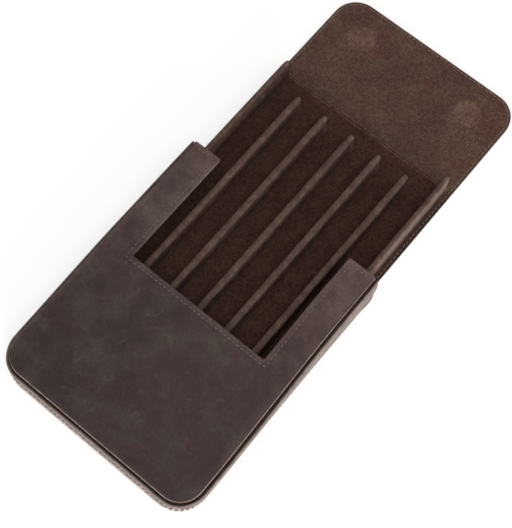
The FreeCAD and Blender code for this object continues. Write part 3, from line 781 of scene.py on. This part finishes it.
back_face = sheet_face("back_face", FLAP_HALF, BACK_LOW, FLAP_HIGH)
grid(back_face, (), [place for place, half in RIM_PLACES])
for place, half in RIM_PLACES + ((BACK_LOW, RIM_END),):
    pick(back_face, "VERT", lambda v: abs(middle(v).y - place) < CLOSE)
    bpy.ops.transform.resize(value=(half / FLAP_HALF, 1, 1), center_override=mm(0, place, 0))
pick(back_face, "FACE", lambda f: True)
bpy.ops.mesh.dissolve_faces()
round_corners(back_face, both_sides(RIM_END, BACK_LOW), BACK_CORNER)
round_corners(back_face, both_sides(FLAP_HALF, FLAP_HIGH), FLAP_CORNER, 12)
edge_loops(back_face, (0.5, 0.85, 0.4, 0.4))
along_flap = [finer(fold, FOLD_REACH, 1.0) for fold in FOLDS]
along_flap.append(finer(MAGNET_FLAP, MAGNET_REACH, 1.0))
grid(back_face, steps_between(-FLAP_HALF, FLAP_HALF, 4, over_magnets),
     steps_between(BACK_LOW, FLAP_HIGH, 4, along_flap) + [PARTING])
only()
print("back and flap cut into", len(back_face.data.polygons), "faces")

# %% [markdown]
# One row of stitches goes round the flap, and one round the sleeve, where the gusset is sewn
# on. Both lie at an even distance inside an outline, so one function tells how far inside it a
# point is, and the grooves and the wear are worked out from that.

# %% Relief of back panel and flap
SEAM_LOW, SEAM_CORNER = -166.25, 13
ROW_INSET = 1.75


def inset_from(x, y, half, end, corner):
    """How far a point lies inside an outline with two long sides and one rounded end."""
    aside = abs(x) - (half - corner)
    ahead = abs(y) - (abs(end) - corner)
    return corner - math.hypot(max(aside, 0), max(ahead, 0)) - min(max(aside, ahead), 0)


def seam_inset(x, y):
    """How far inside the flap's outline, or inside the gusset's seam, a point lies."""
    if y > 0:
        return inset_from(x, y, FLAP_HALF, FLAP_HIGH, FLAP_CORNER)
    return inset_from(x, y, FLAP_HALF, SEAM_LOW, SEAM_CORNER)


def inner_relief(x, y, z):
    """The flap's lining: the stitches' groove, the magnets, and dents that only go in."""
    if z < 2 * LEATHER - 0.1 or y < 0:
        return 0
    row = -0.16 * bell(seam_inset(x, y) - ROW_INSET, 0.4)
    return row + disc_rise(x, y, MAGNET_FLAP, 0.12) - abs(soft(x, y, 26, 0.16))


def outer_relief(x, y, z):
    """The outer side, which lies on the desk, so all of it goes in."""
    if z > 0.1:
        return 0
    row = 0.14 * bell(seam_inset(x, y) - ROW_INSET, 0.4)
    return row + 0.02 + abs(soft(x, y, 30, 0.1))


print("the flap's row lies", round(seam_inset(FLAP_HALF - ROW_INSET, 60), 2), "mm inside its edge")

# %% [markdown]
# For the frame each leather is parted in the middle of the spine, where nothing bends, so that
# each part turns smoothly round one fold.

# %% How the leather is parted and bent


def part_at_spine(piece, names):
    """Parts a long leather at the middle of the spine into two closed pieces."""
    parts = []
    for name, keep_high in zip(names, (False, True)):
        half = copy_of(piece, name)
        edit(half)
        bpy.ops.mesh.bisect(plane_co=mm(0, PARTING, 0), plane_no=(0, 1, 0), use_fill=True,
                            clear_inner=keep_high, clear_outer=not keep_high)
        only()
        parts.append(half)
    bpy.data.objects.remove(piece)
    return parts


def bend_at_folds(parts):
    """Bakes each part's transform into its mesh."""
    bodies = (("case", "flap_spine"), ("flap_spine", "flap_lid"))
    for piece, (near, far), fold in zip(parts, bodies, FOLDS):
        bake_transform(piece)


print("parted", round(PARTING - FOLDS[0], 2), "mm from either fold")

# %% [markdown]
# Wear tells how a leather was used: the rim round the sleeve was left pale, and the magnets show
# as two pale rounds. Beside the tray the lining is painted dark, as painted shade of the tray.

# %% Back panel and flap


def rim_wear(y):
    """Pale, most of all at the closed end."""
    return 0.12 + 0.8 * rise(-y, 148, 163)


def flap_wear_and_shade(x, y, z):
    """The flap's lining: pale over the magnets and along its edge, and painted shade beside the
    tray.
    """
    if y < 0:
        return rim_wear(y)
    disc = 1 - rise(math.hypot(abs(x) - MAGNET_ACROSS, y - MAGNET_FLAP), 7.6, 9.8)
    edge = 0.3 * bell(seam_inset(x, y) - 1.0, 0.5)
    # Painted shade: beside the tray the lining is darkened, below zero.
    beside = (1 - rise(y, 66, 86)) * rise(y, 0, 3)
    return 0.42 * disc + edge * (1 - beside) - 0.7 * beside


def back_wear(x, y, z):
    """The outer side is scuffed where it lies on the desk, most near its edges."""
    if z > 0.6 and y < 0:
        return rim_wear(y)
    return 0.1 + 0.3 * bell(seam_inset(x, y), 4)


def edge_or_face(spot, normal):
    """The cut edges are burnished, and the upper side of the rim is a turned edge's colour."""
    if spot.y < -3.5 and seam_inset(spot.x, spot.y) < -1:
        return 2 if spot.z > 0.6 else 0
    inside = spot.y < 0 or seam_inset(spot.x, spot.y) > 0.55
    return 0 if abs(normal.z) > 0.93 and inside else 1


skin = thicken(back_face, "skin", LEATHER, LEATHER)
round_rim(skin, 0, 0.4)
relief(skin, outer_relief)
skins = part_at_spine(skin, ("back_leather", "flap_leather"))
lining = thicken(back_face, "lining", 2 * LEATHER, LEATHER)
round_rim(lining, 2 * LEATHER, 0.4)
relief(lining, inner_relief)
linings = part_at_spine(lining, ("back_lining_leather", "flap_lining_leather"))

for part in skins:
    paint(part, [outer_leather, burnished, turned_edge], edge_or_face, back_wear)
for part in linings:
    paint(part, [lining_leather, burnished, turned_edge], edge_or_face, flap_wear_and_shade)
for parts, kind, finish in (
        (skins, "skin", "outer_leather"), (linings, "lining", "lining_leather")):
    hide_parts("back_" + kind)
    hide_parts("spine_" + kind, "flap_root_" + kind, "flap_" + kind)
    bend_at_folds(parts)
bpy.data.objects.remove(back_face)

# %% [markdown]
# The gusset, and later the tray's wall, is a long strip that goes down one side, round the
# closed end and back up the other. Its section is drawn once as a chain of points, extruded
# along the side, spun round the corner and extruded to the middle. A mirror gives the other
# half, and subdivision turns the cage of flat faces into a soft skin.

# %% How a strip is carried round
CORNER_STEPS = 8


def extrude(x, y, z):
    """Extrudes what is selected by this many millimetres."""
    bpy.ops.mesh.extrude_region_move(TRANSFORM_OT_translate={"value": mm(x, y, z)})


def chain(name, points, along):
    """A chain of edges through these (x, z), all at this y, selected in edit mode."""
    piece = new_plane(name, MM, (points[0][0], along, points[0][1]))
    bpy.ops.mesh.merge(type="CENTER")
    for before, after in zip(points, points[1:]):
        extrude(after[0] - before[0], 0, after[1] - before[1])
    bpy.ops.mesh.select_all(action="SELECT")
    return piece


def normals_out(piece):
    """Makes all faces look the same way, away from the piece."""
    edit(piece)
    bpy.ops.mesh.normals_make_consistent(inside=False)
    only(piece)


def strip(name, section, mouth, along, corner, across, cap=False):
    """Carries a section, a chain of (x, z), from the mouth along the side and round a corner at
    corner (x, y), then to the middle in this many steps. A cap closes its end at the mouth."""
    piece = chain(name, section, mouth)
    for before, after in zip((mouth,) + along, along + (corner[1],)):
        extrude(0, after - before, 0)
    bpy.ops.mesh.spin(steps=CORNER_STEPS, angle=math.pi / 2,
                      center=mm(corner[0], corner[1], 0), axis=(0, 0, 1))
    for step in range(across):
        extrude(-corner[0] / across, 0, 0)
    if cap:
        pick(piece, "VERT", lambda v: abs(middle(v).y - mouth) < CLOSE)
        bpy.ops.mesh.edge_face_add()
        bpy.ops.mesh.inset(thickness=0.3 * MM)
    bpy.ops.mesh.select_all(action="SELECT")
    bpy.ops.mesh.remove_doubles(threshold=CLOSE * MM)
    only(piece)
    apply_modifier(piece, "MIRROR", use_clip=True, merge_threshold=2 * CLOSE * MM)
    normals_out(piece)
    return piece


def face_out(piece, outer):
    """Turns all faces round if those whose middle passes the test look to the middle line."""
    faces = [face for face in piece.data.polygons if outer(face.center / MM)]
    if sum(face.normal.x * face.center.x for face in faces) < 0:
        edit(piece)
        bpy.ops.mesh.flip_normals()
        only(piece)
    print(piece.name, "cage has", len(piece.data.polygons), "faces")


def soft_skin(piece, thick):
    """Gives a cage its thickness, inwards, and smooths it."""
    apply_modifier(piece, "SOLIDIFY", thickness=thick * MM, offset=-1)
    apply_modifier(piece, "SUBSURF", levels=2, render_levels=2)


print("a strip goes round a corner in", CORNER_STEPS, "steps")

# %% [markdown]
# The gusset swells out between the front panel and the back panel. It is fullest some way in
# from the mouth, where a hand holds the case, and pressed flatter at the mouth itself. Its upper
# edge goes down into a groove beside the front panel.

# %% Gusset's shape
GUSSET_SECTION = ((62.3, 3.1), (64.4, 3.1), (66.0, 3.25), (67.6, 4.6), (69.0, 7.6), (69.7, 12),
                  (69.8, 16.5), (69.6, 20.0), (69.1, 22.3), (68.3, 23.2), (67.6, 22.7),
                  (67.0, 21.9), (66.1, 22.2), (65.2, 22.9), (62.3, 22.9))
GUSSET_STOPS = (-1.5, -3.5, -6, -9, -13, -20, -30, -42, -56, -72, -90, -108, -126, -142)
GUSSET_CORNER, GUSSET_ACROSS, GUSSET_THICK = (52.25, -153.25), 5, 1.6

gusset = strip("gusset_leather", GUSSET_SECTION, 0, GUSSET_STOPS, GUSSET_CORNER, GUSSET_ACROSS)
face_out(gusset, lambda spot: abs(spot.x) > 69)


def swell(x, y, z):
    """How much further the side swells out here. At the right the mouth is pressed flat, up to
    the panel's edge, and at the left only its lower half is."""
    share = math.sin(math.pi * min(max((z - 3) / 20, 0), 1))
    fuller = 0.5 * bell(y + 25, 32) * share
    flat = 0.35 * (1 - rise(-y, 0, 8))
    top = 0 if x > 0 else rise(z, 12, 21)
    pressed = -max(abs(x) - 66.7, 0) * flat * (1 - top)
    return fuller + pressed + 0.16 * share * noise.noise(Vector((y / 9, z / 14, x / 60)))


for vertex in gusset.data.vertices:
    x, y, z = vertex.co / MM
    if abs(x) > 65 and y > -150:
        vertex.co.x += math.copysign(1, x) * swell(x, y, z) * MM
    if y < -160 and z > 20.5:  # across the closed end the shoulder lies 1 mm further out
        vertex.co.y -= 1.0 * MM * rise(-y, 160, 167)
soft_skin(gusset, GUSSET_THICK)

# %% [markdown]
# The bend has driven the oil out of the gusset's upper half, so it is the palest leather of the
# case, with fine creases, and its pale shoulder is also a painted highlight. Its lower half is
# dark, the groove beside the front panel is painted shade, and along the left side, which faces
# away from the lamps, the shoulder is painted less pale, as painted shade.

# %% Gusset's wear


def gusset_inset(x, y):
    """How far inside the gusset's fullest line a point lies."""
    return inset_from(x, y, 69.8, -171.8, 18)


def gusset_wear_and_light(x, y, z):
    """The leather is palest on its shoulder, which hands rub and where a painted highlight lies,
    and its bend by the front panel is painted shade. Along the left side the shoulder is painted
    less pale, as painted shade. Fine creases run up and down it, and longer ones along it."""
    upright = 0.2 * noise.noise(Vector((x / 0.8, y / 0.8, z / 7)))
    lengthwise = 0.55 * noise.noise(Vector((gusset_inset(x, y) / 1.1, (x + y) / 18, z / 1.5)))
    at_end = rise(-y, 160, 169)
    # Painted shade: near the groove by the front panel the gusset is kept dark.
    turned_in = rise(gusset_inset(x, y), 0.2 - 0.8 * at_end, 2.9 - 0.3 * at_end) * rise(z, 19, 20)
    # Painted shade: the left side faces away from the lamps, so there the shoulder is less pale.
    left = 1 - 0.55 * rise(-x, 60, 66) * rise(y, -160, -140)
    # The shoulder's paleness is partly the bent leather's and partly a painted highlight.
    swollen = (0.14 + 0.86 * rise(z, 13, 19)) * (1 - turned_in) * left
    return min(max(swollen * (1 + upright + lengthwise), 0), 1)


def in_groove(spot, normal):
    """The groove beside the front panel is painted nearly black, as painted shade."""
    return 1 if spot.z > 20.5 and gusset_inset(spot.x, spot.y) > 2.9 else 0


paint(gusset, [gusset_leather, groove_leather], in_groove, gusset_wear_and_light)
lean_over(gusset, lambda z: rise(z, 9, 23))
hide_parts("gusset")
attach(gusset, "case")

# %% [markdown]
# The tray's wall is thin leather folded over a strip of board, so its rim is round and a
# little uneven. Its open ends are closed by a small fold, which rounds them off.

# %% Tray wall's shape
TRAY_HALF, TRAY_LOW, TRAY_HIGH = 61.6, -84.5, 78
WALL, TRAY_LEATHER, ROUND_FROM = 3.5, 0.9, 75.2
TRAY_STOPS = (77.8, 77.3, 76.5, 75.3, 73, 68, 58, 44, 30, 16, 2, -12, -26, -40, -54, -66)
WALL_CORNER, WALL_ACROSS = (52.25, -75.15), 5
inner = TRAY_HALF - WALL
WALL_SECTION = ((TRAY_HALF, 3.95), (TRAY_HALF, 5.2), (TRAY_HALF, 12), (TRAY_HALF, 18.3),
                (TRAY_HALF - 0.12, 19.7), (TRAY_HALF - 0.75, 20.6), (TRAY_HALF - 1.75, 20.75),
                (inner + 0.75, 20.6), (inner + 0.12, 19.7), (inner, 18.3), (inner, 12),
                (inner, 6.2), (inner, 4.95))

wall = strip("tray_wall_leather", WALL_SECTION, TRAY_HIGH, TRAY_STOPS, WALL_CORNER, WALL_ACROSS,
             cap=True)
face_out(wall, lambda spot: abs(spot.x) > TRAY_HALF - CLOSE)
for vertex in wall.data.vertices:
    x, y, z = vertex.co / MM
    past = min(max((y - ROUND_FROM) / (TRAY_HIGH - ROUND_FROM), 0), 1)
    narrow = max(math.sqrt(1 - past * past), 0.55)
    centre = math.copysign(TRAY_HALF - WALL / 2, x)
    if past:
        vertex.co.x = (centre + (x - centre) * narrow) * MM
        vertex.co.z -= 1.3 * (1 - narrow) * rise(z, 10, 20) * MM
    elif z > 7:
        vertex.co.z += 0.16 * MM * noise.noise(Vector((x / 13, y / 13, 0)))
        vertex.co.x += 0.14 * MM * noise.noise(Vector((x / 17, y / 11, z / 9)))
soft_skin(wall, TRAY_LEATHER)

# %% [markdown]
# The wall's outer side slides in the sleeve, which has darkened it with wax. At the right its
# outer side is painted pale, as painted light, and its foot is painted dark, as painted shade.

# %% Tray wall's wear


def wall_wear_and_light(x, y, z):
    """The rim is rubbed pale along its outer edge and at its open ends. At the right the upper
    half of the outer side is painted light, and its foot is painted shade, below zero."""
    top = rise(z, 19, 20.3)
    end = 0.4 * top * rise(y, 71, 77)
    # At the right: painted light on the outer side, and painted shade at its foot.
    if x > 0:
        return 0.08 + 0.12 * top + rise(x, 60.5, 61.9) * (1.75 * rise(z, 3, 15) - 0.6) + end
    return 0.08 + 0.1 * top + 0.4 * top * rise(-x, 60.3, 60.9) + end


def wall_side(spot, normal):
    """The darkened leather is at the left and at the deep end, below the rim."""
    return 1 if spot.z < 19.6 and (spot.x < 0.5 - TRAY_HALF or spot.y < TRAY_LOW + 0.5) else 0


paint(wall, [tray_leather, slid_leather], wall_side, wall_wear_and_light)
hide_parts("tray_wall_wrap")
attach(wall, "tray")

# %% [markdown]
# Under the tray lies a thin leather, a flat sheet like the others. It is turned up at its open
# end as a lip, which covers the edge of the board above it.

# %% Tray's underside
COVER_TOP, COVER_THICK, COVER_CORNER, LIP = 3.9, 0.6, 9.35, 0.95

cover_face = sheet_face("cover_face", TRAY_HALF, TRAY_LOW, TRAY_HIGH)
round_corners(cover_face, both_sides(TRAY_HALF, TRAY_LOW), COVER_CORNER)
edge_loops(cover_face, (0.5, 0.5))
grid(cover_face, steps_between(-TRAY_HALF, TRAY_HALF, 8), steps_between(TRAY_LOW, TRAY_HIGH, 8))
cover = thicken(cover_face, "tray_cover_leather", COVER_TOP, COVER_THICK)
round_rim(cover, COVER_TOP - COVER_THICK, 0.2)
edit(cover)
pick(cover, "FACE", lambda f: f.normal.z > 0.9 and middle(f).y > TRAY_HIGH - 1
     and abs(middle(f).x) < TRAY_HALF - 0.9)
extrude(0, 0, LIP)
only(cover)
paint(cover, [tray_leather], wear_and_light=lambda x, y, z: rise(y, TRAY_HIGH - 1.2, TRAY_HIGH - 0.9))
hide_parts("tray_cover")
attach(cover, "tray")
bpy.data.objects.remove(cover_face)

# %% [markdown]
# The floor is suede, glued on the board. Its edges are tucked under the wall's leather. At the
# open end a pale line is painted along its edge, as a painted highlight, and a second pale line
# runs just inside it.

# %% Tray floor
FLOOR_HALF, FLOOR_LOW, FLOOR_TOP, FLOOR_CORNER = 58.1, -81, 5.4, 6.2
FLOOR_TUCK, SUEDE_THICK = 0.4, 0.5

floor_face = sheet_face("floor_face", FLOOR_HALF + FLOOR_TUCK, FLOOR_LOW - FLOOR_TUCK, TRAY_HIGH)
round_corners(floor_face, both_sides(FLOOR_HALF + FLOOR_TUCK, FLOOR_LOW - FLOOR_TUCK),
              FLOOR_CORNER)
edge_loops(floor_face, (0.4, 0.6))
grid(floor_face, steps_between(-FLOOR_HALF, FLOOR_HALF, 4),
     steps_between(FLOOR_LOW, TRAY_HIGH, 4, [(TRAY_HIGH - 3.2, TRAY_HIGH - 0.8, 0.3)]))
floor = thicken(floor_face, "tray_floor_suede", FLOOR_TOP, SUEDE_THICK)
round_rim(floor, FLOOR_TOP, 0.2)
relief(floor, lambda x, y, z: soft(x, y, 14, 0.1) if z > FLOOR_TOP - 0.1 else 0)


def floor_wear_and_light(x, y, z):
    """A pale line follows the floor's end, a little unevenly, and its end edge is a painted
    highlight.
    """
    crease = TRAY_HIGH - 1.9 + 0.5 * noise.noise(Vector((x / 15, 0, 0)))
    # Painted highlight along the floor's end edge.
    end = 0.6 * rise(y, TRAY_HIGH - 0.7, TRAY_HIGH - 0.3)
    return end + 0.45 * bell(y - crease, 0.35)


paint(floor, [suede], wear_and_light=floor_wear_and_light)
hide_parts("tray_floor_lining")
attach(floor, "tray")
bpy.data.objects.remove(floor_face)

# %% [markdown]
# A divider is a tunnel of leather over an upright strip of board. Its section is drawn as a
# chain, from one foot over the top to the other, and extruded from the deep end. Towards its
# open end each stop is also made narrower and a little lower.

# %% Divider's cage
DIVIDER_SECTION = ((2.75, 0.0), (2.3, 0.55), (2.1, 1.8), (2.1, 5.5), (2.2, 9.8), (2.1, 11.4),
                   (1.5, 12.35), (0.0, 12.6))
DIVIDER_STOPS = (-76, -64, -50, -36, -22, -8, 6, 20, 34, 46, 52)
TAPER = ((54.5, 1.0, 1.0), (57.0, 0.98, 1.0), (59.5, 0.93, 0.995), (61.5, 0.86, 0.985),
         (63.0, 0.76, 0.97), (64.0, 0.62, 0.95), (64.4, 0.46, 0.93), (64.6, 0.2, 0.9))

far_side = tuple((-x, z) for x, z in reversed(DIVIDER_SECTION[:-1]))
divider = chain("divider_leather_1", DIVIDER_SECTION + far_side, FLOOR_LOW)
here = FLOOR_LOW
for stop in DIVIDER_STOPS:
    extrude(0, stop - here, 0)
    here = stop
wide, tall = 1.0, 1.0
for stop, width, height in TAPER:
    extrude(0, stop - here, 0)
    bpy.ops.transform.resize(value=(width / wide, 1, height / tall),
                             center_override=mm(0, stop, 0))
    here, wide, tall = stop, width, height
only(divider)
print("divider's cage has", len(divider.data.polygons), "faces")

# %% [markdown]
# Its foot flares where it is glued down, and its open end is pinched and rounded, which gathers
# the leather in small pleats. It is modelled once and copied to the other places.

# %% Dividers
PITCH, DIVIDERS, MIDDLE_ONE = 20.0333, 5, 3

for vertex in divider.data.vertices:
    x, y, z = vertex.co / MM
    pinch = rise(y, 54, 64)
    foot = rise(4.5 - z, 0, 4.5) * (1 - rise(y, 62.5, 64.6))
    pleat = 0.3 * math.sin(z * 1.9) * pinch
    if abs(x) > CLOSE:
        vertex.co.x += math.copysign(1, x) * (pinch * foot * 1.2 + pleat) * MM
    vertex.co.x += 0.12 * MM * noise.noise(Vector((y / 16, z / 8, 0.5)))
normals_out(divider)
face_out(divider, lambda spot: abs(spot.x) > 1.9 and spot.z > 4)
soft_skin(divider, TRAY_LEATHER)
divider.data.transform(Matrix.Translation(mm(0, 0, FLOOR_TOP + 0.1)))
names = ["divider_leather_%d" % number for number in range(2, DIVIDERS + 1)]
dividers = [divider] + [copy_of(divider, name) for name in names]
for number, ridge in enumerate(dividers, start=1):
    ridge.data.transform(Matrix.Translation(mm((number - MIDDLE_ONE) * PITCH, 0, 0)))
    paint(ridge, [tray_leather],
          wear_and_light=lambda x, y, z: 0.2 * rise(z, 15.5, 17.8) + 0.2 * rise(y, 56, 64))
    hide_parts("divider_%d" % number)
    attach(ridge, "tray")

# %% [markdown]
# Each stitch is a short, fat loop of thread that dips into the leather at both ends. One is
# modelled, and copied along each row.

# %% One stitch
STITCH_LONG, STITCH_WIDE, STITCH_HIGH = 2.3, 0.62, 0.55

only()
bpy.ops.mesh.primitive_uv_sphere_add(segments=8, ring_count=6, radius=0.5)
stitch = bpy.context.object
stitch.name = "stitch"
edit(stitch)
bpy.ops.transform.rotate(value=math.pi / 2, orient_axis="Y", center_override=(0, 0, 0))
bpy.ops.transform.resize(value=mm(STITCH_LONG, STITCH_WIDE, STITCH_HIGH), center_override=(0, 0, 0))
only(stitch)
print("a stitch is", STITCH_LONG, "mm long and has", len(stitch.data.polygons), "faces")

# %% [markdown]
# A row follows a path with rounded corners at an even pitch. Its stitches slant a little, as a
# saddle stitch lies, each one slightly differently. They are joined into one piece.

# %% How a row is sewn
STITCH_PITCH, SLANT, UNEVEN = 3.1, 7, 2

dice = random.Random(7)


def rounded_path(points, corner):
    """A path through these corners, each rounded to this radius, as close points."""
    path = [Vector(points[0])]
    for before, here, after in zip(points, points[1:], points[2:]):
        here = Vector(here)
        back = (Vector(before) - here).normalized()
        ahead = (Vector(after) - here).normalized()
        centre = here + (back + ahead) * corner
        for step in range(13):
            turn = math.pi / 2 * step / 12
            path.append(centre - ahead * corner * math.cos(turn) - back * corner * math.sin(turn))
    path.append(Vector(points[-1]))
    return path


def round_the_end(across, start, end, corner):
    """A path down one side, across an end and back up the other side."""
    return rounded_path([(-across, start), (-across, end), (across, end), (across, start)], corner)


def places_along(path, pitch):
    """Places and headings at an even pitch along a path."""
    length = sum((after - before).length for before, after in zip(path, path[1:]))
    count = int(length / pitch)
    gap = length / count
    found = []
    walked, wanted = 0.0, gap / 2
    for before, after in zip(path, path[1:]):
        run = (after - before).length
        while run > 0 and wanted <= walked + run + 1e-9 and len(found) < count:
            spot = before + (after - before) * ((wanted - walked) / run)
            found.append((spot, math.atan2(after.y - before.y, after.x - before.x)))
            wanted += gap
        walked += run
    return found


def stitch_row(name, rows, keep=None, finish=thread):
    """One piece from rows of (path, level). keep says which places are wanted."""
    copies = []
    for path, level in rows:
        for spot, heading in places_along(path, STITCH_PITCH):
            if keep is not None and not keep(spot):
                continue
            one = copy_of(stitch, name)
            slant = math.radians(SLANT + dice.uniform(-UNEVEN, UNEVEN))
            turn = Matrix.Rotation(heading + slant, 4, "Z")
            one.data.transform(Matrix.Translation(mm(spot.x, spot.y, level)) @ turn)
            copies.append(one)
    only(copies[0])
    for one in copies:
        one.select_set(True)
    bpy.ops.object.join()
    row = copies[0]
    row.name = row.data.name = name
    paint(row, [finish])
    return row


print("a stitch every", STITCH_PITCH, "mm, slanted by", SLANT, "degrees")

# %% [markdown]
# The sleeve's rows: one round the notch and along the mouth, which goes through both layers, the
# hidden seam between the gusset and the front panel, and the rows through the back and its rim.

# %% Stitches of the sleeve
MOUTH_ROW_END, NOTCH_ROW_CORNER, SEAM_ROW = 62.75, 1.5, 1.6
RIM_ROW_HALF, RIM_ROW_START, RIM_ROW_LOW, RIM_ROW_CORNER = 67.7, -9, BACK_LOW + 0.8, 16.2

notch_out, notch_down = NOTCH_HALF + FRONT_ROW, NOTCH_LOW - FRONT_ROW
notch_path = rounded_path([(-MOUTH_ROW_END, -FRONT_ROW), (-notch_out, -FRONT_ROW),
                           (-notch_out, notch_down), (notch_out, notch_down),
                           (notch_out, -FRONT_ROW), (MOUTH_ROW_END, -FRONT_ROW)],
                          NOTCH_ROW_CORNER)
front_row = stitch_row("front_stitches", [(notch_path, 25.9), (notch_path, 23.05)],
                       finish=dark_thread)
lean_over(front_row)
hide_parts("front_stitching")
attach(front_row, "case")

seam = round_the_end(FLAP_HALF - SEAM_ROW, 0, SEAM_LOW + SEAM_ROW, SEAM_CORNER - SEAM_ROW)
seam_row = stitch_row("seam_stitches", [(seam, 21.2)])
lean_over(seam_row)
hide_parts("front_seam")
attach(seam_row, "case")

# The rim is wider towards the closed end, and its row follows it.
rim_path = round_the_end(RIM_ROW_HALF, RIM_ROW_START, RIM_ROW_LOW, RIM_ROW_CORNER)
for spot in rim_path:
    spot.x += math.copysign(1.1 * rise(-spot.y, 95, 140), spot.x)
rim_row = stitch_row("rim_stitches", [(seam, 0.12), (seam, 4.8), (rim_path, 2.9), (rim_path, 0.12)],
                     finish=pale_thread)
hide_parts("rim_stitching")
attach(rim_row, "case")

# %% [markdown]
# The flap's row goes on along the spine. It is parted where the leather is.

# %% Stitches of the spine and the flap
flap_path = round_the_end(FLAP_HALF - ROW_INSET, 1, FLAP_HIGH - ROW_INSET, FLAP_CORNER - ROW_INSET)
rows = [(flap_path, 2.88), (flap_path, 0.12)]
spine_rows = [stitch_row("spine_stitches", rows, lambda spot: spot.y < PARTING),
              stitch_row("flap_stitches", rows, lambda spot: spot.y > PARTING)]
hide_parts("spine_stitching")
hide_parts("flap_root_stitching", "flap_stitching")
bend_at_folds(spine_rows)
bpy.data.objects.remove(stitch)
print("stitches in the flap's row:", len(places_along(flap_path, STITCH_PITCH)))
